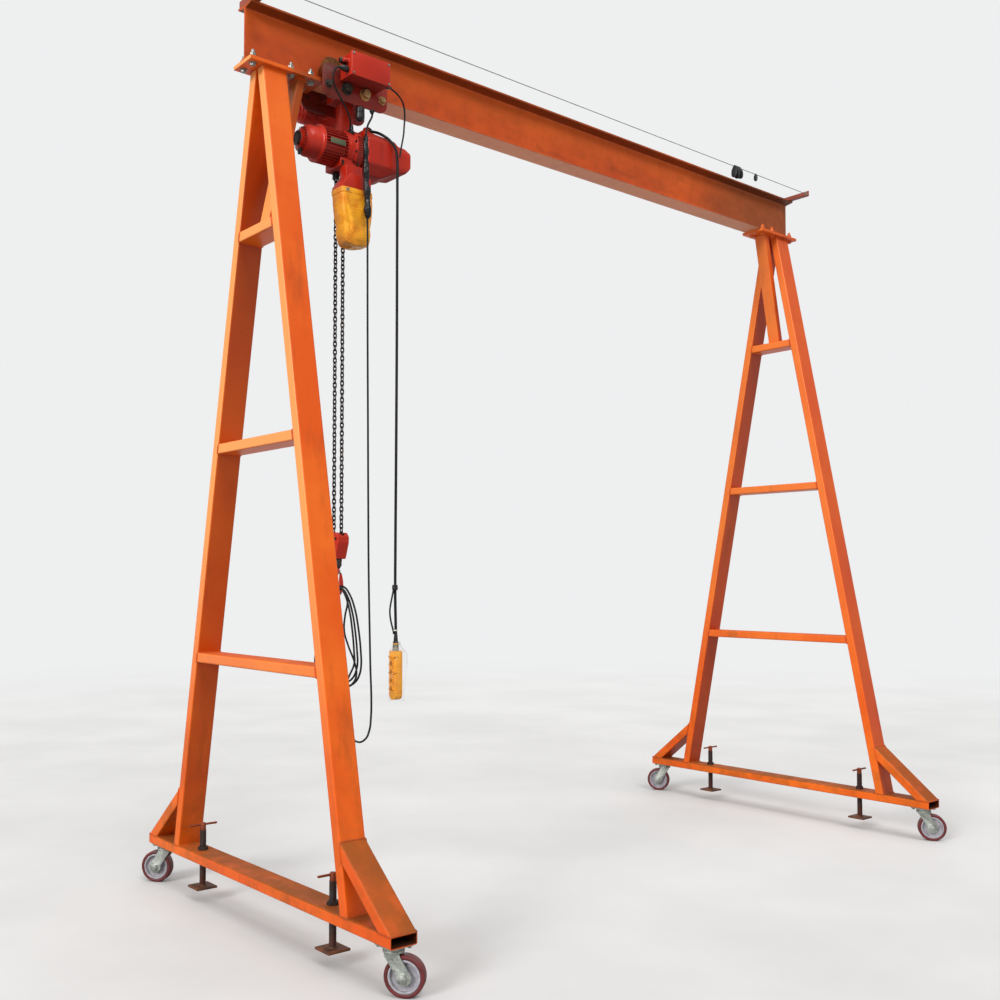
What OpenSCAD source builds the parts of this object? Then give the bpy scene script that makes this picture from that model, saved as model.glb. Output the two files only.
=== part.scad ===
// Portable gantry crane: two A-frames on swivel casters carry an I-beam,
// and an electric chain hoist hangs below the beam on a powered trolley.
// Millimetres, +Z up. X runs along the beam from the near frame (-X) to the
// far frame (+X), -Y is the front, and the origin is on the floor at the centre.

/* [Span and height] */
// Distance between the two A-frames, centre to centre
span = 3760; // [3000:10:5000]
// Height of the underside of the beam above the floor
beam_bottom = 3706; // [3300:1:4200]
// Length of the base beam of each A-frame
base_length = 2000; // [1700:10:2400]

/* [Main beam] */
// Reach of the I-beam past the centre of each frame
beam_overhang = 120; // [110:5:600]
// Depth of the I-beam
beam_depth = 250; // [220:1:300]
// Width of the beam's flanges
beam_width = 116; // [108:1:124]
// Thickness of the beam's web
beam_web = 8; // [6:0.5:10]
// Mean thickness of the beam's flanges
beam_flange = 13; // [10:0.5:16]
// Radius of the fillet between web and flange
beam_root = 10; // [6:0.5:12]
// Slope of the flanges' inner faces
flange_slope = 0.166; // [0.1:0.002:0.17]

/* [A-frames] */
// Width of the rectangular tube along the beam
tube_width = 120; // [100:1:130]
// Depth of the leg and brace tube
leg_depth = 50; // [44:1:56]
// Height of the base beam and of the rungs
rung_depth = 45; // [40:1:50]
// Wall thickness of the tubes
tube_wall = 4; // [3:0.5:6]
// Outside corner radius of the tubes
tube_round = 7; // [5:0.5:8]
// Half distance between the legs' outer edges at the base beam
leg_foot = 730; // [690:5:760]
// Half gap between the legs at the top
leg_gap = 4; // [2:0.5:6]
// Height of the centre of the lowest rung
rung_low = 1120; // [1000:5:1250]
// Height of the centre of the middle rung
rung_mid = 2066; // [1900:5:2200]
// Height of the centre of the top rung
rung_top = 2987; // [2900:1:3060]
// Height at which a corner brace meets the leg's outer face
brace_top = 500; // [460:5:560]
// Width of the knee strut across the frame
strut_width = 80; // [60:1:90]
// Depth of the knee strut
strut_depth = 40; // [34:1:46]
// Distance of the knee strut's top from the frame's inner face
strut_reach = 85; // [75:1:90]
// Thickness of the head plates
plate_thick = 16; // [12:1:20]
// Width of the head plates across the beam
plate_width = 150; // [140:1:154]
// Reach of a head plate inboard of the frame
plate_inboard = 180; // [170:1:182]
// Reach of a head plate past the end of the beam
plate_lip = 10; // [5:1:30]
// Spacing of the bolts across the beam
bolt_gauge = 80; // [72:1:86]

/* [Casters] */
// Height of a caster from the floor to the base beam
caster_height = 185; // [180:1:196]
// Diameter of a caster wheel
caster_wheel = 150; // [140:1:154]
// Width of a caster wheel
caster_tread = 45; // [38:1:50]
// Diameter of the wheel's cast core
caster_core = 120; // [110:1:124]
// Distance of the wheel's axle behind the swivel
caster_trail = 42; // [36:1:46]
// Distance of a caster's centre from the end of the base beam
caster_inset = 60; // [55:1:100]
// Diameter of the caster's axle
caster_axle = 14; // [12:1:18]

/* [Screw jacks] */
// Diameter of the jack screw
jack_screw_d = 30; // [24:1:34]
// Distance of a jack from the foot of the leg beside it
jack_inset = 185; // [150:5:230]
// Side of the square jack foot
jack_foot_side = 100; // [90:1:110]
// Height of the jack foot's underside above the floor
jack_rest = 58; // [52:1:62]
// Length of the tommy bar
tommy_length = 140; // [110:1:160]

/* [Trolley] */
// Distance of the trolley's centre from the near frame's inner face
trolley_park = 335; // [335:5:900]
// Length of the trolley's side plates
side_length = 350; // [330:1:370]
// Height of the side plates
side_height = 150; // [144:1:160]
// Thickness of the side plates
side_thick = 10; // [8:1:12]
// Gap between the side plates
side_gap = 170; // [168:1:176]
// Distance between the wheel axles
wheel_base = 220; // [200:1:230]
// Tread diameter of the trolley wheels
wheel_d = 90; // [80:1:94]
// Length of the control box
box_length = 205; // [180:1:220]
// Height of the control box
box_height = 103; // [90:1:112]
// Depth of the control box
box_depth = 92; // [80:1:100]

/* [Hoist] */
// Distance of the hoist's axis below the beam
hoist_drop = 266; // [262:1:280]
// Diameter over the motor's cooling fins
motor_d = 168; // [156:1:176]
// Diameter of the fan cowl
cowl_d = 140; // [130:1:150]
// Number of cooling fins round the motor
fin_count = 36; // [24:1:40]
// Thickness of a cooling fin
fin_thick = 3; // [2:0.5:4]
// Height of the cooling fins
fin_height = 14; // [8:1:18]
// Width of the hoist's cover across the beam
cover_width = 210; // [190:1:220]
// Width of the chain bag along the beam
bag_length = 163; // [150:1:175]
// Depth of the chain bag across the beam
bag_depth = 100; // [90:1:110]
// Height of the chain bag
bag_height = 262; // [230:1:290]

/* [Load chain and hook] */
// Diameter of the chain's wire
chain_wire = 6.3; // [5:0.1:7]
// Inner length of a chain link
chain_pitch = 19; // [18:0.5:22]
// Distance between the two falls of chain
fall_gap = 60; // [54:1:66]
// Height of the top of the hook block above the floor
block_top = 1690; // [1500:5:2400]
// Width of the hook block
block_width = 62; // [56:1:70]
// Height of the hook block
block_height = 118; // [106:1:130]
// Height of the hook's shank from the centre of its bowl
hook_shank = 119; // [110:1:130]

/* [Cords] */
// Diameter of the power cable
power_d = 9; // [8:0.5:10]
// Diameter of the taped part of the power cable
power_tape_d = 20; // [16:0.5:22]
// Diameter of the pendant's cable
pendant_d = 13; // [11:0.5:14]
// Diameter of the short leads
lead_d = 8; // [6:0.5:9]
// Diameter of the guide wire
wire_d = 4; // [3:0.5:5]
// Distance of the guide wire in front of the beam's centre
wire_reach = 165; // [140:1:180]
// Distance of the bunched cable clips from the beam's far end
clip_inset = 708; // [300:1:900]
// Width of a cable clip
clip_width = 40; // [34:1:44]
// Drop of a cable clip below the guide wire
clip_drop = 78; // [60:1:90]
// Length of the power cable's plug
plug_length = 70; // [60:1:80]

/* [Hidden] */
$fn = 48;
e = 0.01;
gap = 0.3;
fx = span / 2;
base_z = caster_height;
base_top = base_z + rung_depth;
plate_z = beam_bottom - plate_thick;
beam_top = beam_bottom + beam_depth;
beam_end = fx + beam_overhang;
caster_pitch = base_length / 2 - caster_inset;
jack_pitch = leg_foot - jack_inset;
hub = fx - tube_width / 2;
leg_rise = plate_z - base_top;
leg_run = leg_foot - leg_gap;
lean = acos(leg_depth / norm([leg_run, leg_rise])) - atan2(leg_rise, leg_run);
lean_slope = tan(lean);
leg_flat = leg_depth / cos(lean);
function outer_y(z) = leg_gap + leg_flat + (plate_z - z) * lean_slope;
function inner_y(z) = leg_gap + (plate_z - z) * lean_slope;
tip_thick = beam_flange - flange_slope * (beam_width - beam_web) / 4;
root_thick = beam_flange + flange_slope * (beam_width - beam_web) / 4;
fork_clear = 3.5;
fork_wall = 4;
crown_z = caster_wheel + 8;
race_z = crown_z + 8 + gap;
top_plate = 6;
trail_near_front = -50;
trail_near_rear = 130;
trail_far_front = -55;
trail_far_rear = 125;
screw_top = base_top + 92;
jack_head_d = 26;
jack_head_h = 32;
tommy_d = 10;
foot_thick = 10;
tx = -hub + trolley_park;
side_z = beam_bottom - 81;
side_y = side_gap / 2;
wheel_in = 20;
wheel_out = beam_width / 2 + 5.5;
track_slope = atan(flange_slope);
wheel_mid = (wheel_in + beam_width / 2) / 2;
wheel_drop = beam_bottom + root_thick - flange_slope * (wheel_mid - beam_web / 2);
wheel_z = wheel_drop + gap + wheel_d / 2;
shaft_z = beam_bottom - 24;
shaft_x = 49;
shaft_d = 24;
hz = beam_bottom - hoist_drop;
fall_x = -22;
box_x = -84;
box_z = beam_bottom + 4;
fin_start = -150;
fin_end = -18;
cover_start = 64;
cover_end = 236;
cap_end = 320;
body_bottom = hz - 96;
bag_x = fall_x + 2;
bag_y = -95;
bag_top = hz - 217;
block_bottom = block_top - block_height;
hook_z = block_bottom - hook_shank;
hook_turn = 27;
pend_x = 210;
pend_y = -130;
pend_top = 1192;
pend_low = 938;
wire_y = -wire_reach;
angle_size = 35;
angle_wall = 4;
wire_z = beam_top + angle_size / 2;

// Prism along X from an outline in Y and Z
module along_x(x0, x1, outline) {
    translate([x0, 0, 0])
        rotate([90, 0, 90])
            linear_extrude(height = x1 - x0)
                polygon(outline);
}

// Prism along Y from an outline in X and Z
module along_y(y0, y1, outline) {
    translate([0, y1, 0])
        rotate([90, 0, 0])
            linear_extrude(height = y1 - y0)
                polygon(outline);
}

module box(x0, x1, y0, y1, z0, z1) {
    translate([x0, y0, z0])
        cube([x1 - x0, y1 - y0, z1 - z0]);
}

module rod_x(x0, x1, y, z, d) {
    translate([x0, y, z])
        rotate([0, 90, 0])
            cylinder(d = d, h = x1 - x0);
}

module rod_y(y0, y1, x, z, d) {
    translate([x, y0, z])
        rotate([-90, 0, 0])
            cylinder(d = d, h = y1 - y0);
}

module rod_z(z0, z1, x, y, d) {
    translate([x, y, z0])
        cylinder(d = d, h = z1 - z0);
}

module hex_z(z0, z1, x, y, flats) {
    translate([x, y, z0])
        cylinder(d = flats / cos(30), h = z1 - z0, $fn = 6);
}

module hex_y(y0, y1, x, z, flats) {
    translate([x, y0, z])
        rotate([-90, 0, 0])
            cylinder(d = flats / cos(30), h = y1 - y0, $fn = 6);
}

module both_frames() {
    for (s = [-1, 1])
        translate([s * fx, 0, 0])
            children();
}

module both_sides() {
    children();
    mirror([0, 1, 0])
        children();
}

// Solid bar of rounded section, W along X and D along Y, centred on the Z axis
module rounded_bar(w, d, r, z0, z1) {
    box(-w / 2 + r, w / 2 - r, -d / 2, d / 2, z0, z1);
    box(-w / 2, w / 2, -d / 2 + r, d / 2 - r, z0, z1);
    for (a = [-1, 1])
        for (b = [-1, 1])
            rod_z(z0, z1, a * (w / 2 - r), b * (d / 2 - r), 2 * r);
}

// Cold-formed rectangular tube with rounded corners
module tube(w, d, z0, z1) {
    difference() {
        rounded_bar(w, d, tube_round, z0, z1);
        rounded_bar(w - 2 * tube_wall, d - 2 * tube_wall, tube_round - tube_wall + 1,
            z0 - 1, z1 + 1);
    }
}

// Rectangular tubes laid along the floor, one per frame, open at both ends
module base_beams() {
    color("orangered")
        both_frames()
            difference() {
                translate([0, 0, (base_z + base_top) / 2])
                    rotate([90, 0, 0])
                        tube(tube_width, rung_depth, -base_length / 2, base_length / 2);
                for (s = [-1, 1])
                    rod_z(base_z - 1, base_top + 1, 0, s * jack_pitch, jack_screw_d + 2 * gap);
            }
}

module leg_tube() {
    zc = (base_top + plate_z) / 2;
    half = leg_rise / 2 / cos(lean) + 40;
    intersection() {
        translate([0, (outer_y(zc) + inner_y(zc)) / 2, zc])
            rotate([lean, 0, 0])
                tube(tube_width, leg_depth, -half, half);
        box(-tube_width, tube_width, -50, leg_foot + 50, base_top, plate_z);
    }
}

module near_legs() {
    color("orangered")
        translate([-fx, 0, 0])
            both_sides()
                leg_tube();
}

module far_legs() {
    color("orangered")
        translate([fx, 0, 0])
            both_sides()
                leg_tube();
}

module rung(zc) {
    z0 = zc - rung_depth / 2 - 1;
    z1 = zc + rung_depth / 2 + 1;
    intersection() {
        translate([0, 0, zc])
            rotate([90, 0, 0])
                tube(tube_width, rung_depth, -leg_foot, leg_foot);
        along_x(-tube_width, tube_width, [
            [-inner_y(z0), z0], [inner_y(z0), z0], [inner_y(z1), z1], [-inner_y(z1), z1]]);
    }
}

module rungs() {
    color("orangered")
        both_frames() {
            rung(rung_low);
            rung(rung_mid);
            rung(rung_top);
        }
}

// Short sloped tubes between the base beam's ends and the legs
module corner_brace() {
    y0 = base_length / 2;
    dy = outer_y(brace_top) - y0;
    dz = brace_top - base_top;
    n = norm([dy, dz]);
    intersection() {
        translate([0, y0 - leg_depth / 2 * dz / n, base_top + leg_depth / 2 * dy / n])
            rotate([atan2(-dy, dz), 0, 0])
                tube(tube_width, leg_depth, -60, n + 120);
        along_x(-tube_width, tube_width, [
            [outer_y(base_top), base_top], [outer_y(brace_top + 90), brace_top + 90],
            [y0 + 80, brace_top + 90], [y0 + 80, base_top]]);
    }
}

module corner_braces() {
    color("orangered")
        both_frames()
            both_sides()
                corner_brace();
}

// Struts from the top rung up to the inboard end of the head plate
module knee_strut() {
    z0 = rung_top + rung_depth / 2;
    dz = plate_z - z0;
    dx = tube_width / 2 + strut_reach;
    n = norm([dx, dz]);
    intersection() {
        translate([0, 0, z0])
            rotate([0, atan2(dx, dz), 0])
                tube(strut_depth, strut_width, -40, n + 40);
        box(-80, dx + 80, -strut_width, strut_width, z0, plate_z);
    }
}

module knee_struts() {
    color("orangered") {
        translate([-fx, 0, 0])
            knee_strut();
        translate([fx, 0, 0])
            mirror([1, 0, 0])
                knee_strut();
    }
}

module head_plate() {
    difference() {
        box(hub - beam_end - plate_lip, plate_inboard, -plate_width / 2, plate_width / 2,
            plate_z, beam_bottom);
        for (s = [-1, 1])
            rod_z(plate_z - 1, beam_bottom + 1, 45, s * (plate_width / 2 - 16), 14);
    }
}

module head_plates() {
    color("orangered")
        for (m = [0, 1])
            mirror([m, 0, 0])
                translate([-hub, 0, 0])
                    head_plate();
}

// Corner of the section from the web's face to a flange tip, fillet included
function arc(y, z, r, a0, a1, n) = [for (i = [0:n])
    let (a = a0 + (a1 - a0) * i / n) [y + r * cos(a), z + r * sin(a)]];
function section_corner() = let (
    b = beam_web / 2,
    w = beam_width / 2,
    zc = root_thick + beam_root / cos(track_slope) - beam_root * flange_slope)
    concat(
        arc(b + beam_root, zc, beam_root, 180, 270 - track_slope, 6),
        arc(w - 5, tip_thick - 4.3, 5, 90 - track_slope, 8, 3),
        [[w, 0]]);
function flipped(p, a, b) = [for (q = p) [q[0] * a, q[1] * b]];
function reversed(p) = [for (i = [len(p) - 1:-1:0]) p[i]];

module i_section(x0, x1) {
    c = section_corner();
    low = concat(c, reversed(flipped(c, -1, 1)));
    up = [for (q = low) [q[0], beam_depth - q[1]]];
    translate([0, 0, beam_bottom])
        along_x(x0, x1, concat(low, reversed(up)));
}

module main_beam() {
    color("orangered")
        i_section(-beam_end, beam_end);
}

// Angle irons across the top of the beam that carry the guide wire
module cross_angles() {
    color("dimgray")
        for (m = [0, 1])
            mirror([m, 0, 0])
                translate([-beam_end, 0, 0])
                    difference() {
                        union() {
                            box(6, 6 + angle_size, wire_y - 17, beam_width / 2, beam_top,
                                beam_top + angle_wall);
                            box(6, 6 + angle_wall, wire_y - 17, beam_width / 2, beam_top,
                                beam_top + angle_size);
                        }
                        rod_x(5, 7 + angle_wall, wire_y, wire_z, wire_d + 4);
                    }
}

module guide_wire() {
    color("gray") {
        rod_x(-beam_end + 6 + angle_wall, beam_end - 6 - angle_wall, wire_y, wire_z, wire_d);
        for (s = [-1, 1]) {
            translate([s * (beam_end - 6 - angle_wall - 4), wire_y, wire_z])
                rotate([0, 90, 0])
                    cylinder(d = 16, h = 8, center = true);
        }
    }
}

// Clips bunched on the guide wire, folded flat against each other
module cable_clips() {
    w = clip_width / 2;
    pitch = 14;
    x0 = beam_end - clip_inset - 4 * pitch - 10;
    color("black")
        translate([x0, wire_y, wire_z])
            difference() {
                union() {
                    for (i = [0:4])
                        box(i * pitch, i * pitch + 10, -w, w, -clip_drop, wire_d * 2);
                    box(-4, 4 * pitch + 14, -w * 0.6, w * 0.6, -clip_drop + 18, -clip_drop + 34);
                    box(15 * pitch + 2, 15 * pitch + 12, -w * 0.8, w * 0.8, -clip_drop / 2,
                        wire_d * 2);
                }
                rod_x(-10, 16 * pitch + 14, 0, 0, wire_d + 2 * gap);
            }
}

module caster_sites() {
    for (s = [-1, 1])
        for (t = [-1, 1])
            translate([s * fx, t * caster_pitch, 0])
                children();
}

module caster_plates() {
    color("silver")
        caster_sites() {
            box(-50, 50, -50, 50, base_z - top_plate, base_z);
            rod_z(race_z, base_z - top_plate, 0, 0, 76);
            rod_z(race_z - 14, race_z + e, 0, 0, 18);
            for (a = [-1, 1])
                for (b = [-1, 1])
                    hex_z(base_z - top_plate - 7, base_z - top_plate, a * 40, b * 40, 13);
        }
}

// Swivel fork of a caster, its wheel trailing along +X
module fork() {
    half = caster_tread / 2 + fork_clear;
    axle_z = caster_wheel / 2;
    t = caster_trail;
    color("silver") {
        difference() {
            union() {
                rod_z(crown_z, race_z - gap, 0, 0, 80);
                box(-29, 27, -half - fork_wall, half + fork_wall, crown_z, crown_z + 6);
            }
            rod_z(crown_z - 1, race_z + 1, 0, 0, 19);
        }
        for (s = [-1, 1]) {
            y0 = s > 0 ? half : -half - fork_wall;
            difference() {
                union() {
                    along_y(y0, y0 + fork_wall, [
                        [-29, crown_z + 6], [-29, crown_z - 10], [t - 27.5, axle_z + 6],
                        [t - 20, axle_z - 14], [t + 20, axle_z - 14], [t + 27.5, axle_z + 6],
                        [27, crown_z - 6], [27, crown_z + 6]]);
                    rod_y(y0, y0 + fork_wall, t, axle_z, 56);
                }
                rod_y(y0 - 1, y0 + fork_wall + 1, t, axle_z, caster_axle - e);
            }
        }
        rod_y(-half - fork_wall - 6, half + fork_wall + 6, t, axle_z, caster_axle);
        hex_y(-half - fork_wall - 9, -half - fork_wall, t, axle_z, 22);
        hex_y(half + fork_wall, half + fork_wall + 9, t, axle_z, 22);
    }
}

module wheel_core() {
    axle_z = caster_wheel / 2;
    hub_half = caster_tread / 2 + 2;
    color("slategray")
        difference() {
            union() {
                rod_y(-caster_tread / 2, caster_tread / 2, caster_trail, axle_z, caster_core);
                rod_y(-hub_half, hub_half, caster_trail, axle_z, 34);
            }
            rod_y(-hub_half - 1, hub_half + 1, caster_trail, axle_z, caster_axle + 2 * gap);
            for (s = [-1, 1])
                difference() {
                    rod_y(s > 0 ? 8 : -caster_tread / 2 - 1, s > 0 ? caster_tread / 2 + 1 : -8,
                        caster_trail, axle_z, caster_core - 16);
                    rod_y(s > 0 ? 7 : -hub_half - 2, s > 0 ? hub_half + 2 : -7,
                        caster_trail, axle_z, 34);
                }
        }
}

module wheel_tyre() {
    axle_z = caster_wheel / 2;
    color("maroon")
        difference() {
            rod_y(-caster_tread / 2, caster_tread / 2, caster_trail, axle_z, caster_wheel);
            rod_y(-caster_tread / 2 - 1, caster_tread / 2 + 1, caster_trail, axle_z, caster_core);
        }
}

module near_front() {
    translate([-fx, -caster_pitch, 0])
        rotate([0, 0, trail_near_front])
            children();
}

module near_rear() {
    translate([-fx, caster_pitch, 0])
        rotate([0, 0, trail_near_rear])
            children();
}

module far_front() {
    translate([fx, -caster_pitch, 0])
        rotate([0, 0, trail_far_front])
            children();
}

module far_rear() {
    translate([fx, caster_pitch, 0])
        rotate([0, 0, trail_far_rear])
            children();
}

module fork_near_front() { near_front() fork(); }
module core_near_front() { near_front() wheel_core(); }
module tyre_near_front() { near_front() wheel_tyre(); }
module fork_near_rear() { near_rear() fork(); }
module core_near_rear() { near_rear() wheel_core(); }
module tyre_near_rear() { near_rear() wheel_tyre(); }
module fork_far_front() { far_front() fork(); }
module core_far_front() { far_front() wheel_core(); }
module tyre_far_front() { far_front() wheel_tyre(); }
module fork_far_rear() { far_rear() fork(); }
module core_far_rear() { far_rear() wheel_core(); }
module tyre_far_rear() { far_rear() wheel_tyre(); }

// Threaded jack screw with a turned head and a tommy bar
module jack_screw(x, y) {
    color("dimgray")
        translate([x, y, 0]) {
            rod_z(jack_rest + foot_thick, screw_top, 0, 0, jack_screw_d);
            difference() {
                rod_z(screw_top - e, screw_top + jack_head_h, 0, 0, jack_head_d);
                rod_x(-jack_head_d, jack_head_d, 0, screw_top + 24, tommy_d - e);
            }
            rod_x(-tommy_length / 2, tommy_length / 2, 0, screw_top + 24, tommy_d);
        }
}

module jack_foot(x, y) {
    h = jack_foot_side / 2;
    color("saddlebrown")
        translate([x, y, 0])
            box(-h, h, -h, h, jack_rest, jack_rest + foot_thick);
}

module screw_near_front() { jack_screw(-fx, -jack_pitch); }
module foot_near_front() { jack_foot(-fx, -jack_pitch); }
module screw_near_rear() { jack_screw(-fx, jack_pitch); }
module foot_near_rear() { jack_foot(-fx, jack_pitch); }
module screw_far_front() { jack_screw(fx, -jack_pitch); }
module foot_far_front() { jack_foot(fx, -jack_pitch); }
module screw_far_rear() { jack_screw(fx, jack_pitch); }
module foot_far_rear() { jack_foot(fx, jack_pitch); }

// Side plates with rounded lower corners, tied by two cross shafts
module side_plate(y0) {
    r = 40;
    x = side_length / 2;
    z1 = side_z + side_height;
    difference() {
        union() {
            along_y(y0, y0 + side_thick, [
                [-x, side_z + r], [-x + r, side_z], [x - r, side_z], [x, side_z + r],
                [x, z1 - 20], [x - 20, z1], [-x + 20, z1], [-x, z1 - 20]]);
            rod_y(y0, y0 + side_thick, x - r, side_z + r, 2 * r);
            rod_y(y0, y0 + side_thick, -x + r, side_z + r, 2 * r);
        }
        for (s = [-1, 1])
            rod_y(y0 - 1, y0 + side_thick + 1, s * shaft_x, shaft_z, shaft_d - e);
    }
}

module trolley_plates() {
    color("firebrick")
        translate([tx, 0, 0]) {
            side_plate(side_y);
            side_plate(-side_y - side_thick);
            for (s = [-1, 1]) {
                rod_y(-side_y - side_thick - 22, side_y + side_thick + 22, s * shaft_x, shaft_z,
                    shaft_d);
                hex_y(-side_y - side_thick - 16, -side_y - side_thick, s * shaft_x, shaft_z, 36);
                hex_y(side_y + side_thick, side_y + side_thick + 16, s * shaft_x, shaft_z, 36);
            }
            hex_y(-side_y - side_thick - 12, -side_y - side_thick, 145, shaft_z, 24);
            hex_y(side_y + side_thick, side_y + side_thick + 12, 145, shaft_z, 24);
            hex_y(-side_y - side_thick - 12, -side_y - side_thick, -145, shaft_z, 24);
            hex_y(side_y + side_thick, side_y + side_thick + 12, -145, shaft_z, 24);
        }
}

// Coned wheels that run on the sloped flange, one at each corner
module trolley_wheel() {
    w0 = wheel_d / 2 - flange_slope * (wheel_mid - wheel_in);
    w1 = wheel_d / 2 + flange_slope * (wheel_out - wheel_mid);
    translate([0, wheel_in, wheel_z])
        rotate([-90, 0, 0])
            cylinder(r1 = w0, r2 = w1, h = wheel_out - wheel_in);
    rod_y(wheel_out, wheel_out + 7, 0, wheel_z, wheel_d + 24);
    rod_y(wheel_out + 7, side_y, 0, wheel_z, 30);
}

module trolley_wheels() {
    color("dimgray")
        translate([tx, 0, 0])
            for (s = [-1, 1])
                translate([s * wheel_base / 2, 0, 0])
                    both_sides()
                        trolley_wheel();
}

// Travel motor and its small gearbox on the rear side plate
module trolley_drive() {
    y0 = side_y + side_thick;
    z0 = shaft_z - 44;
    color("firebrick")
        translate([tx, 0, 0]) {
            rod_x(-150, -20, y0 + 62, z0, 84);
            rod_x(-162, -150, y0 + 62, z0, 70);
            box(-20, 78, y0 + 24, y0 + 108, z0 - 46, z0 + 92);
            box(-28, 28, y0, y0 + 24, z0 - 12, z0 + 92);
        }
}

// Control box on the front side plate
module control_box() {
    y1 = -side_y - side_thick;
    color("firebrick")
        translate([tx, 0, 0]) {
            box(box_x, box_x + box_length, y1 - box_depth, y1, box_z, box_z + box_height);
            rod_x(box_x - 26, box_x, y1 - 62, box_z + 30, 20);
            rod_x(box_x - 26, box_x, y1 - 62, box_z + 68, 20);
        }
}

// Suspension block between the trolley's shafts and the hoist
module hoist_yoke() {
    top = shaft_z + 20;
    low = hz + 60;
    color("firebrick")
        translate([tx, 0, 0]) {
            difference() {
                box(-72, 72, -34, 34, shaft_z - 34, top);
                for (s = [-1, 1])
                    rod_y(-35, 35, s * shaft_x, shaft_z, shaft_d + e);
            }
            difference() {
                box(-30, 34, -24, 24, low, shaft_z - 34);
                rod_x(-31, fin_end, 0, hz, motor_d + 2 * gap);
                rod_x(fin_end - e, 12, 0, hz, motor_d + 6 + 2 * gap);
                rod_x(12 - gap, 35, 0, hz, motor_d + 24 + 2 * gap);
            }
        }
}

// Motor housing with cooling fins round it
module hoist_motor() {
    color("firebrick")
        translate([tx, 0, hz]) {
            rod_x(fin_start, fin_end, 0, 0, motor_d - 2 * fin_height);
            rod_x(fin_start, fin_start + 6, 0, 0, motor_d);
            rod_x(fin_end - 8, fin_end, 0, 0, motor_d);
            for (i = [0:fin_count - 1])
                rotate([i * 360 / fin_count, 0, 0])
                    box(fin_start + 3, fin_end - 4, -fin_thick / 2, fin_thick / 2,
                        motor_d / 2 - fin_height - 3, motor_d / 2 - 1);
        }
}

// Fan cowl with a domed end and a round cap
module fan_cowl() {
    r = cowl_d / 2;
    color("firebrick")
        translate([tx, 0, hz])
            rotate([0, 90, 0])
                rotate_extrude()
                    polygon([
                        [0, -245], [32, -245], [32, -242], [r - 22, -232], [r - 6, -215],
                        [r, -200], [r, fin_start - 6], [r + 8, fin_start], [0, fin_start]]);
}

// Gear case between motor and cover, with the chain housing below
module gear_case() {
    color("firebrick")
        translate([tx, 0, 0]) {
            rod_x(fin_end, 12, 0, hz, motor_d + 6);
            rod_x(12, 50, 0, hz, motor_d + 24);
            rod_x(50, cover_start, 0, hz, motor_d);
            difference() {
                box(-58, 46, -62, 62, body_bottom, hz - 40);
                rod_x(-60, fin_end, 0, hz, motor_d + 2 * gap);
            }
            for (i = [0:9])
                translate([0, 0, hz])
                    rotate([i * 36 + 18, 0, 0])
                        rod_x(46, 58, 0, motor_d / 2 + 4, 12);
        }
}

module hoist_cover() {
    w = cover_width / 2;
    top = hz + 104;
    low = hz - 110;
    color("firebrick")
        translate([tx, 0, 0]) {
            box(82, 108, -53, -27, hz + 80, hz + 122);
            intersection() {
                along_y(-w, w, [
                    [cover_start, low], [cover_start + 96, low], [cover_end, low + 34],
                    [cover_end, top - 26], [cover_start + 10, top], [cover_start, top - 6]]);
                along_x(cover_start - 1, cover_end + 1, [
                    [-w, hz - 62], [-w + 40, low - 1], [w - 40, low - 1], [w, hz - 62],
                    [w, hz + 50], [w - 52, top + 1], [-w + 52, top + 1], [-w, hz + 50]]);
            }
            intersection() {
                along_y(-w + 14, w - 14, [
                    [cover_end, low + 40], [cap_end - 20, low + 52], [cap_end, low + 78],
                    [cap_end, top - 68], [cap_end - 20, top - 42], [cover_end, top - 34]]);
                along_x(cover_end - 1, cap_end + 1, [
                    [-w + 14, hz - 40], [-w + 50, low], [w - 50, low], [w - 14, hz - 40],
                    [w - 14, hz + 34], [w - 58, top], [-w + 58, top], [-w + 14, hz + 34]]);
            }
        }
}

// Sloping guide that leads the slack chain into the bag
module chain_guide() {
    l = bag_length / 2 - 6;
    d = bag_depth / 2 - 6;
    color("firebrick")
        translate([tx, 0, 0]) {
            along_y(bag_y - d, bag_y + d, [
                [bag_x - l, bag_top - 4], [bag_x + l, bag_top - 4],
                [bag_x + l, bag_top + 58], [bag_x - l + 44, bag_top + 66],
                [bag_x - l, bag_top + 8]]);
            box(bag_x - 30, bag_x + 58, bag_y, bag_y + d + 7, bag_top + 18, body_bottom);
        }
}

module chain_bag() {
    l = bag_length / 2;
    d = bag_depth / 2;
    z0 = bag_top - bag_height;
    color("gold")
        translate([tx + bag_x, bag_y, 0])
            polyhedron(
                points = [
                    [-l + 14, -d + 12, z0], [l - 14, -d + 12, z0],
                    [l - 14, d - 12, z0], [-l + 14, d - 12, z0],
                    [-l + 4, -d + 3, z0 + 40], [l - 4, -d + 3, z0 + 40],
                    [l - 4, d - 3, z0 + 40], [-l + 4, d - 3, z0 + 40],
                    [-l, -d, bag_top - 4], [l, -d, bag_top - 4],
                    [l, d, bag_top - 4], [-l, d, bag_top - 4]],
                faces = [
                    [0, 1, 2, 3],
                    [0, 4, 5, 1], [1, 5, 6, 2], [2, 6, 7, 3], [3, 7, 4, 0],
                    [4, 8, 9, 5], [5, 9, 10, 6], [6, 10, 11, 7], [7, 11, 8, 4],
                    [11, 10, 9, 8]]);
}

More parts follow.
